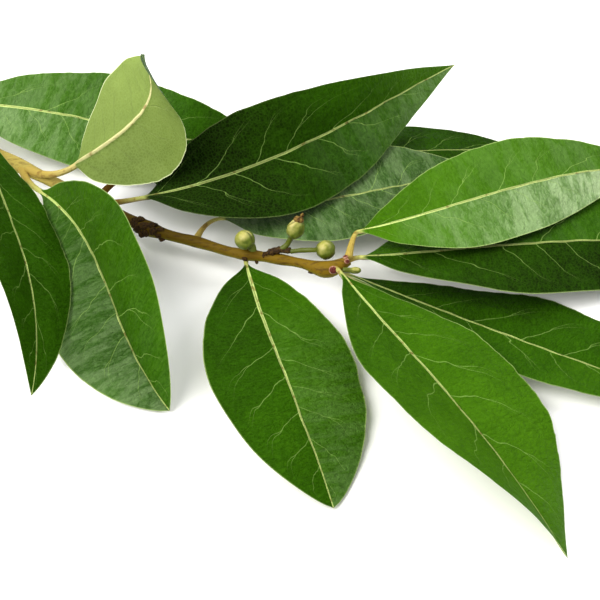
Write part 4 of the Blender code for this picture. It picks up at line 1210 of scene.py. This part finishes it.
# Each lump: its place along X, its angle around the twig, its length and width across the bark,
# its height, and how far it stands out
SCARS = {
    "twig_knots": (CORK, 0.9, [
        (-43.4, 30, 1.2, 1.2, 0.4, 0.0), (-42.3, -5, 1.2, 0.9, 0.7, 0.1),
        (-42.2, 75, 1.4, 1.4, 0.5, 0.0), (-41.0, 112, 1.0, 1.0, 0.8, 0.1),
        (-40.6, 35, 1.4, 1.1, 0.5, 0.0), (-39.9, 85, 1.2, 1.1, 0.4, 0.0),
        (-38.8, 5, 1.3, 0.8, 0.9, 0.1), (-38.2, 50, 1.2, 1.0, 0.4, 0.0),
        (-36.6, 10, 1.0, 0.7, 0.6, 0.0), (-36.0, 118, 1.0, 0.6, 0.7, 0.1),
        (-36.8, 80, 0.9, 0.7, 0.3, 0.0), (-10.9, 118, 0.55, 0.5, 0.5, 0.2),
        (-118.5, 10, 0.9, 0.7, 0.7, 0.1), (-80.5, 95, 0.6, 0.5, 0.4, 0.1),
        (-14.0, 92, 0.7, 0.8, 0.35, 0.1), (3.4, 125, 0.9, 0.5, 0.3, 0.0)]),
    "twig_socket_rims": (SOCKET, 0.25, [
        (8.2, 55, 1.15, 1.05, 0.55, 0.0), (11.7, 40, 0.75, 0.75, 0.5, 0.1),
        (12.0, -10, 0.7, 0.7, 0.5, 0.1)]),
    "twig_socket_hearts": (SOCKET_HEART, 0.15, [
        (8.2, 55, 0.95, 0.85, 0.35, 0.36), (11.7, 40, 0.5, 0.45, 0.2, 0.45),
        (12.0, -10, 0.4, 0.4, 0.2, 0.5)]),
}
for name, (finish, roughness, lumps) in SCARS.items():
    places = [on_bark(x, angle) for x, angle, *_ in lumps]
    points = [point + facing * lump[5] for (point, facing), lump in zip(places, lumps)]
    line = line_mesh(name, points, {
        "facing": [facing for _, facing in places], "size": [lump[2:5] for lump in lumps]})
    piece = grow(name, line, SCAR_TREE, {"Roughness": roughness, "Material": finish})
    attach(piece, "root")
    print(name, len(piece.data.polygons), "faces")

# %% The spur that carries two buds
SPUR_PATH = [(-9.5, 7.3, 8.9), (-7.2, 7.5, 10.1), (-5.0, 7.5, 10.8), (-2.4, 7.0, 11.2)]
SPUR_RADII = (0.7, 0.95, 0.85, 0.75)


def along_values(values, share):
    """A value between the given ones, at a share of the way through them."""
    step, part = divmod(share * (len(values) - 1), 1)
    step = int(step)
    return values[-1] if step == len(values) - 1 else values[step] * (1 - part) + values[step + 1] * part


spur_points = smooth_path(SPUR_PATH, 0.25)
spur_radii = [along_values(SPUR_RADII, k / (len(spur_points) - 1)) for k in range(len(spur_points))]
spur = grow("twig_spur", rod_line("twig_spur", spur_points, spur_radii), TWIG_TREE, {
    "Knots": 1.3, "Pores per mm2": 0.0, "Bark": CORK, "Cut Wood": CORK})
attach(spur, "root")
print("spur:", len(spur.data.polygons), "faces")

# %% [markdown]
# ## Flower buds
#
# Before they open, bay flowers sit in round green buds, each wrapped in two pairs of bracts whose
# edges meet in a seam. A bud is turned around its own axis, so it is swept like the twig: the
# circle grows from the stalk into the round head and closes at the top. The seam is a groove where
# the bracts meet, and the finish darkens it. The upper bud keeps a withered brown tip, which is
# rough and crooked, so it is made of two of the lumps that the scars are made of.

# %% Bud tree
SEAM_WIDTH = 0.11       # half of the seam's width, in radii of the bud
SEAM_DEPTH = 0.11       # its depth, in the same unit
SEAM_CURL = (-0.45, 0.9)  # how far the seam lies to one side at the neck, and how far it then swings
BUD_LUMPS = 0.55        # scale of a bud's own lumps
BUD_LUMP_HEIGHT = 0.5   # mm
BUD_SIDES = 64
BUD_INPUTS = {
    "Seam Depth": ("NodeSocketFloat", 0.28),
    "Seam Turn": ("NodeSocketFloat", 0.0),
    "Bud Skin": ("NodeSocketMaterial", None),
}


def build_bud_tree():
    tree, given, result = new_tree("bud along its stalk", BUD_INPUTS)
    given = given.outputs
    MATH = "ShaderNodeMath"
    measure = add(tree, "GeometryNodeInputNamedAttribute", {"Name": "measure"}, data_type="FLOAT_VECTOR")
    radius = add(tree, "ShaderNodeSeparateXYZ", {0: measure}).outputs[0]
    curve = add(tree, "GeometryNodeMeshToCurve", {0: given["Geometry"]})
    circle = add(tree, "GeometryNodeCurvePrimitiveCircle", {"Resolution": BUD_SIDES, "Radius": 1.0})
    spoke = add(tree, "GeometryNodeInputPosition")
    turn = add(tree, "ShaderNodeVectorRotate", {
        "Vector": spoke, "Angle": given["Seam Turn"]}, rotation_type="Z_AXIS")
    circle = add(tree, "GeometryNodeStoreNamedAttribute", {
        0: circle, "Name": "around", "Value": turn}, data_type="FLOAT_VECTOR", domain="POINT")
    rod = add(tree, "GeometryNodeCurveToMesh", {
        "Curve": curve, "Profile Curve": circle, "Scale": radius, "Fill Caps": True})
    around = add(tree, "GeometryNodeInputNamedAttribute", {"Name": "around"}, data_type="FLOAT_VECTOR")
    around_parts = add(tree, "ShaderNodeSeparateXYZ", {0: around}).outputs
    head = add(tree, "ShaderNodeSeparateXYZ", {0: measure}).outputs[2]
    curl = add(tree, MATH, {0: head, 1: SEAM_CURL[1], 2: SEAM_CURL[0]}, operation="MULTIPLY_ADD")
    bent = add(tree, MATH, {0: around_parts[1], 1: curl}, operation="SUBTRACT")
    far = add(tree, MATH, {0: bent, 1: SEAM_WIDTH}, operation="DIVIDE")
    square = add(tree, MATH, {0: far, 1: far}, operation="MULTIPLY")
    minus = add(tree, MATH, {0: square, 1: -1.0}, operation="MULTIPLY")
    groove = add(tree, MATH, {0: minus}, operation="EXPONENT")
    on_head = add(tree, "ShaderNodeMapRange", {0: head, 1: 0.05, 2: 0.35})
    depth = add(tree, MATH, {0: on_head, 1: given["Seam Depth"]}, operation="MULTIPLY")
    seam = add(tree, MATH, {0: groove, 1: depth}, operation="MULTIPLY")
    here = add(tree, "GeometryNodeInputPosition")
    lumps = add(tree, "ShaderNodeTexNoise", {"Vector": here, "Scale": BUD_LUMPS, "Detail": 1.0})
    lump_height = add(tree, MATH, {
        0: lumps, 1: BUD_LUMP_HEIGHT, 2: -BUD_LUMP_HEIGHT / 2}, operation="MULTIPLY_ADD")
    height = add(tree, MATH, {0: lump_height, 1: seam}, operation="SUBTRACT")
    facing = add(tree, "GeometryNodeInputNormal")
    lift = add(tree, "ShaderNodeVectorMath", {0: facing, "Scale": height}, operation="SCALE")
    shaped = add(tree, "GeometryNodeSetPosition", {0: rod, "Offset": lift})
    seamed = add(tree, "GeometryNodeStoreNamedAttribute", {
        0: shaped, "Name": "seam", "Value": groove}, data_type="FLOAT", domain="POINT")
    scaled = add(tree, "GeometryNodeTransform", {0: seamed, "Scale": (MM, MM, MM)})
    merged = add(tree, "GeometryNodeMergeByDistance", {0: scaled, "Distance": MERGE * MM})
    smooth = add(tree, "GeometryNodeSetShadeSmooth", {0: merged})
    real = add(tree, "GeometryNodeRealizeInstances", {0: smooth})
    skinned = add(tree, "GeometryNodeSetMaterial", {0: real, "Material": given["Bud Skin"]})
    tree.links.new(skinned.outputs[0], result.inputs[0])
    return tree


BUD_TREE = build_bud_tree()
print("bud tree:", len(BUD_TREE.nodes), "nodes")


# %% Bud finish
BUD_LIGHT_SIDE = (-0.45, -0.15, 0.88)  # painted light: the side of a bud that faces this way, towards the front window, is painted creamy yellow as a highlight
BUD_MOTTLE = 1.6        # mm, patches of the two shaded greens and of the two lit creams
SHADED_BRACT_GREENS = ("#48560e", "#62701c")
LIT_BRACT_CREAMS = ("#8a8c34", "#b4aa66")
SEAM_TINT = "#3c3210"
SEAM_STRENGTH = 0.7
BUD_STALK_TINT = "#4e5812"


def bud_finish():
    """Bay flower bud: thin leathery bracts, olive green in painted shade and cream yellow in painted light,
    on a darker green stalk.
    """
    finish, tree, shader = new_finish("bay flower bud bracts")
    measure = add(tree, "ShaderNodeAttribute", attribute_name="measure")
    head = add(tree, "ShaderNodeSeparateXYZ", {0: measure.outputs["Vector"]}).outputs[2]
    seam = add(tree, "ShaderNodeAttribute", attribute_name="seam").outputs["Fac"]
    spot = add(tree, "ShaderNodeTexCoord").outputs["Object"]
    noise = add(tree, "ShaderNodeTexNoise", {"Vector": spot, "Scale": 1 / (BUD_MOTTLE * MM), "Detail": 3.0})
    facing = add(tree, "ShaderNodeNewGeometry").outputs["Normal"]
    toward_painted_light = add(tree, "ShaderNodeVectorMath", {0: facing, 1: BUD_LIGHT_SIDE}, operation="DOT_PRODUCT")
    painted_light_share = add(tree, "ShaderNodeMapRange", {0: toward_painted_light.outputs["Value"], 1: 0.40, 2: 1.0})
    mottle = add(tree, "ShaderNodeMapRange", {0: noise, 1: 0.35, 2: 0.65})
    shade = add(tree, "ShaderNodeMix", {
        0: mottle, 6: linear(SHADED_BRACT_GREENS[0]), 7: linear(SHADED_BRACT_GREENS[1])}, data_type="RGBA")
    light = add(tree, "ShaderNodeMix", {
        0: mottle, 6: linear(LIT_BRACT_CREAMS[0]), 7: linear(LIT_BRACT_CREAMS[1])}, data_type="RGBA")
    # Painted light: lit cream on the side towards the light, painted shade green on the other side.
    bract = add(tree, "ShaderNodeMix", {
        0: painted_light_share, 6: shade.outputs[2], 7: light.outputs[2]}, data_type="RGBA")
    on_head = add(tree, "ShaderNodeMapRange", {0: head, 1: 0.02, 2: 0.30},
                  interpolation_type="SMOOTHSTEP")
    seam_here = add(tree, "ShaderNodeMath", {0: seam, 1: on_head}, operation="MULTIPLY")
    seam_strength = add(tree, "ShaderNodeMath", {0: seam_here, 1: SEAM_STRENGTH}, operation="MULTIPLY")
    seamed = add(tree, "ShaderNodeMix", {
        0: seam_strength, 6: bract.outputs[2], 7: linear(SEAM_TINT)}, data_type="RGBA")
    whole = add(tree, "ShaderNodeMix", {
        0: on_head, 6: linear(BUD_STALK_TINT), 7: seamed.outputs[2]}, data_type="RGBA")
    tree.links.new(whole.outputs[2], shader.inputs["Base Color"])
    shader.inputs["Roughness"].default_value = 0.45
    shader.inputs["Specular IOR Level"].default_value = 0.25
    bump = add(tree, "ShaderNodeBump", {"Height": noise, "Distance": 0.08 * MM, "Strength": 0.4})
    tree.links.new(bump.outputs[0], shader.inputs["Normal"])
    return finish


BUD_SKIN = bud_finish()
print("finish:", BUD_SKIN.name)

# %% The buds
# Each bud's stalk runs from foot past bend to the head's middle. turn is where its seam faces, in
# radians, and the other sizes are in mm.
BUDS = {
    "bud_left": dict(
        foot=(-12.2, 7.6, 10.6), bend=(-12.2, 8.0, 11.6), head=(-14.2, 8.9, 13.1),
        radius=2.6, half_length=2.6, stalk=1.1, turn=0.6),
    "bud_upper": dict(
        foot=(-5.5, 7.6, 10.8), bend=(-2.6, 7.8, 11.5), head=(-1.1, 9.6, 16.2),
        radius=2.25, half_length=2.8, stalk=0.75, turn=1.8),
    "bud_side": dict(
        foot=(-2.4, 6.9, 10.9), bend=(-1.0, 6.8, 11.4), head=(6.6, 6.5, 11.8),
        radius=2.5, half_length=2.5, stalk=0.6, turn=2.6),
    "bud_end": dict(
        foot=(11.0, 1.3, 9.6), bend=(12.0, 1.2, 9.8), head=(14.2, 1.2, 9.6),
        radius=0.9, half_length=1.5, stalk=0.7, turn=0.3),
}
BUD_STALK_STEPS = 14
BUD_HEAD_STEPS = 40
SHARPEST = 0.02         # mm, the radius at a bud's closed top


def bud_line(name, bud):
    """The stalk's curve up to the neck, then the round profile of the head up to its closed top."""
    foot, corner, head = (Vector(bud[key]) for key in ("foot", "bend", "head"))
    points = []
    radii = []
    for k in range(BUD_STALK_STEPS):
        t = 0.5 * k / BUD_STALK_STEPS
        points.append(foot * (1 - t) ** 2 + corner * 2 * t * (1 - t) + head * t * t)
        radii.append(bud["stalk"])
    shares = [0.0] * len(points)
    forward = (head - points[-1]).normalized()
    neck = -math.acos(bud["stalk"] / bud["radius"])
    for k in range(BUD_HEAD_STEPS + 1):
        angle = neck + (math.pi / 2 - neck) * k / BUD_HEAD_STEPS
        point = head + forward * bud["half_length"] * math.sin(angle)
        if (point - points[-1]).dot(forward) > 0:
            points.append(point)
            radii.append(max(bud["radius"] * math.cos(angle), SHARPEST))
            shares.append(0.5 + math.sin(angle) / 2)
    measure = [(radius, 0.0, share) for radius, share in zip(radii, shares)]
    return line_mesh(name, points, {"measure": measure})


for name, bud in BUDS.items():
    piece = grow(name + "_grown", bud_line(name, bud), BUD_TREE, {
        "Seam Turn": bud["turn"],
        "Seam Depth": SEAM_DEPTH * bud["radius"],
        "Bud Skin": BUD_SKIN,
    })
    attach(piece, "root")
    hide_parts(name)
    print(name, len(piece.data.polygons), "faces")

# %% The withered tip of the upper bud
upper = BUDS["bud_upper"]
upper_head = Vector(upper["head"])
upwards = (upper_head - Vector(upper["bend"])).normalized()
TIP_SUNK = 0.1
TIP_LENGTH = 1.2
TIP_BEND = Vector((0.5, 0.0, 0.0))
tip_foot = upper_head + upwards * (upper["half_length"] - TIP_SUNK)
tip_end = tip_foot + upwards * TIP_LENGTH + TIP_BEND
tip_line = line_mesh("bud_upper_tip", [tip_foot, tip_end], {
    "facing": [upwards, upwards], "size": [(1.35, 1.25, 0.9), (0.45, 0.45, 0.7)]})
tip = grow("bud_upper_tip", tip_line, SCAR_TREE, {"Roughness": 0.5, "Material": WITHERED})
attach(tip, "root")
print("withered tip:", len(tip.data.polygons), "faces")
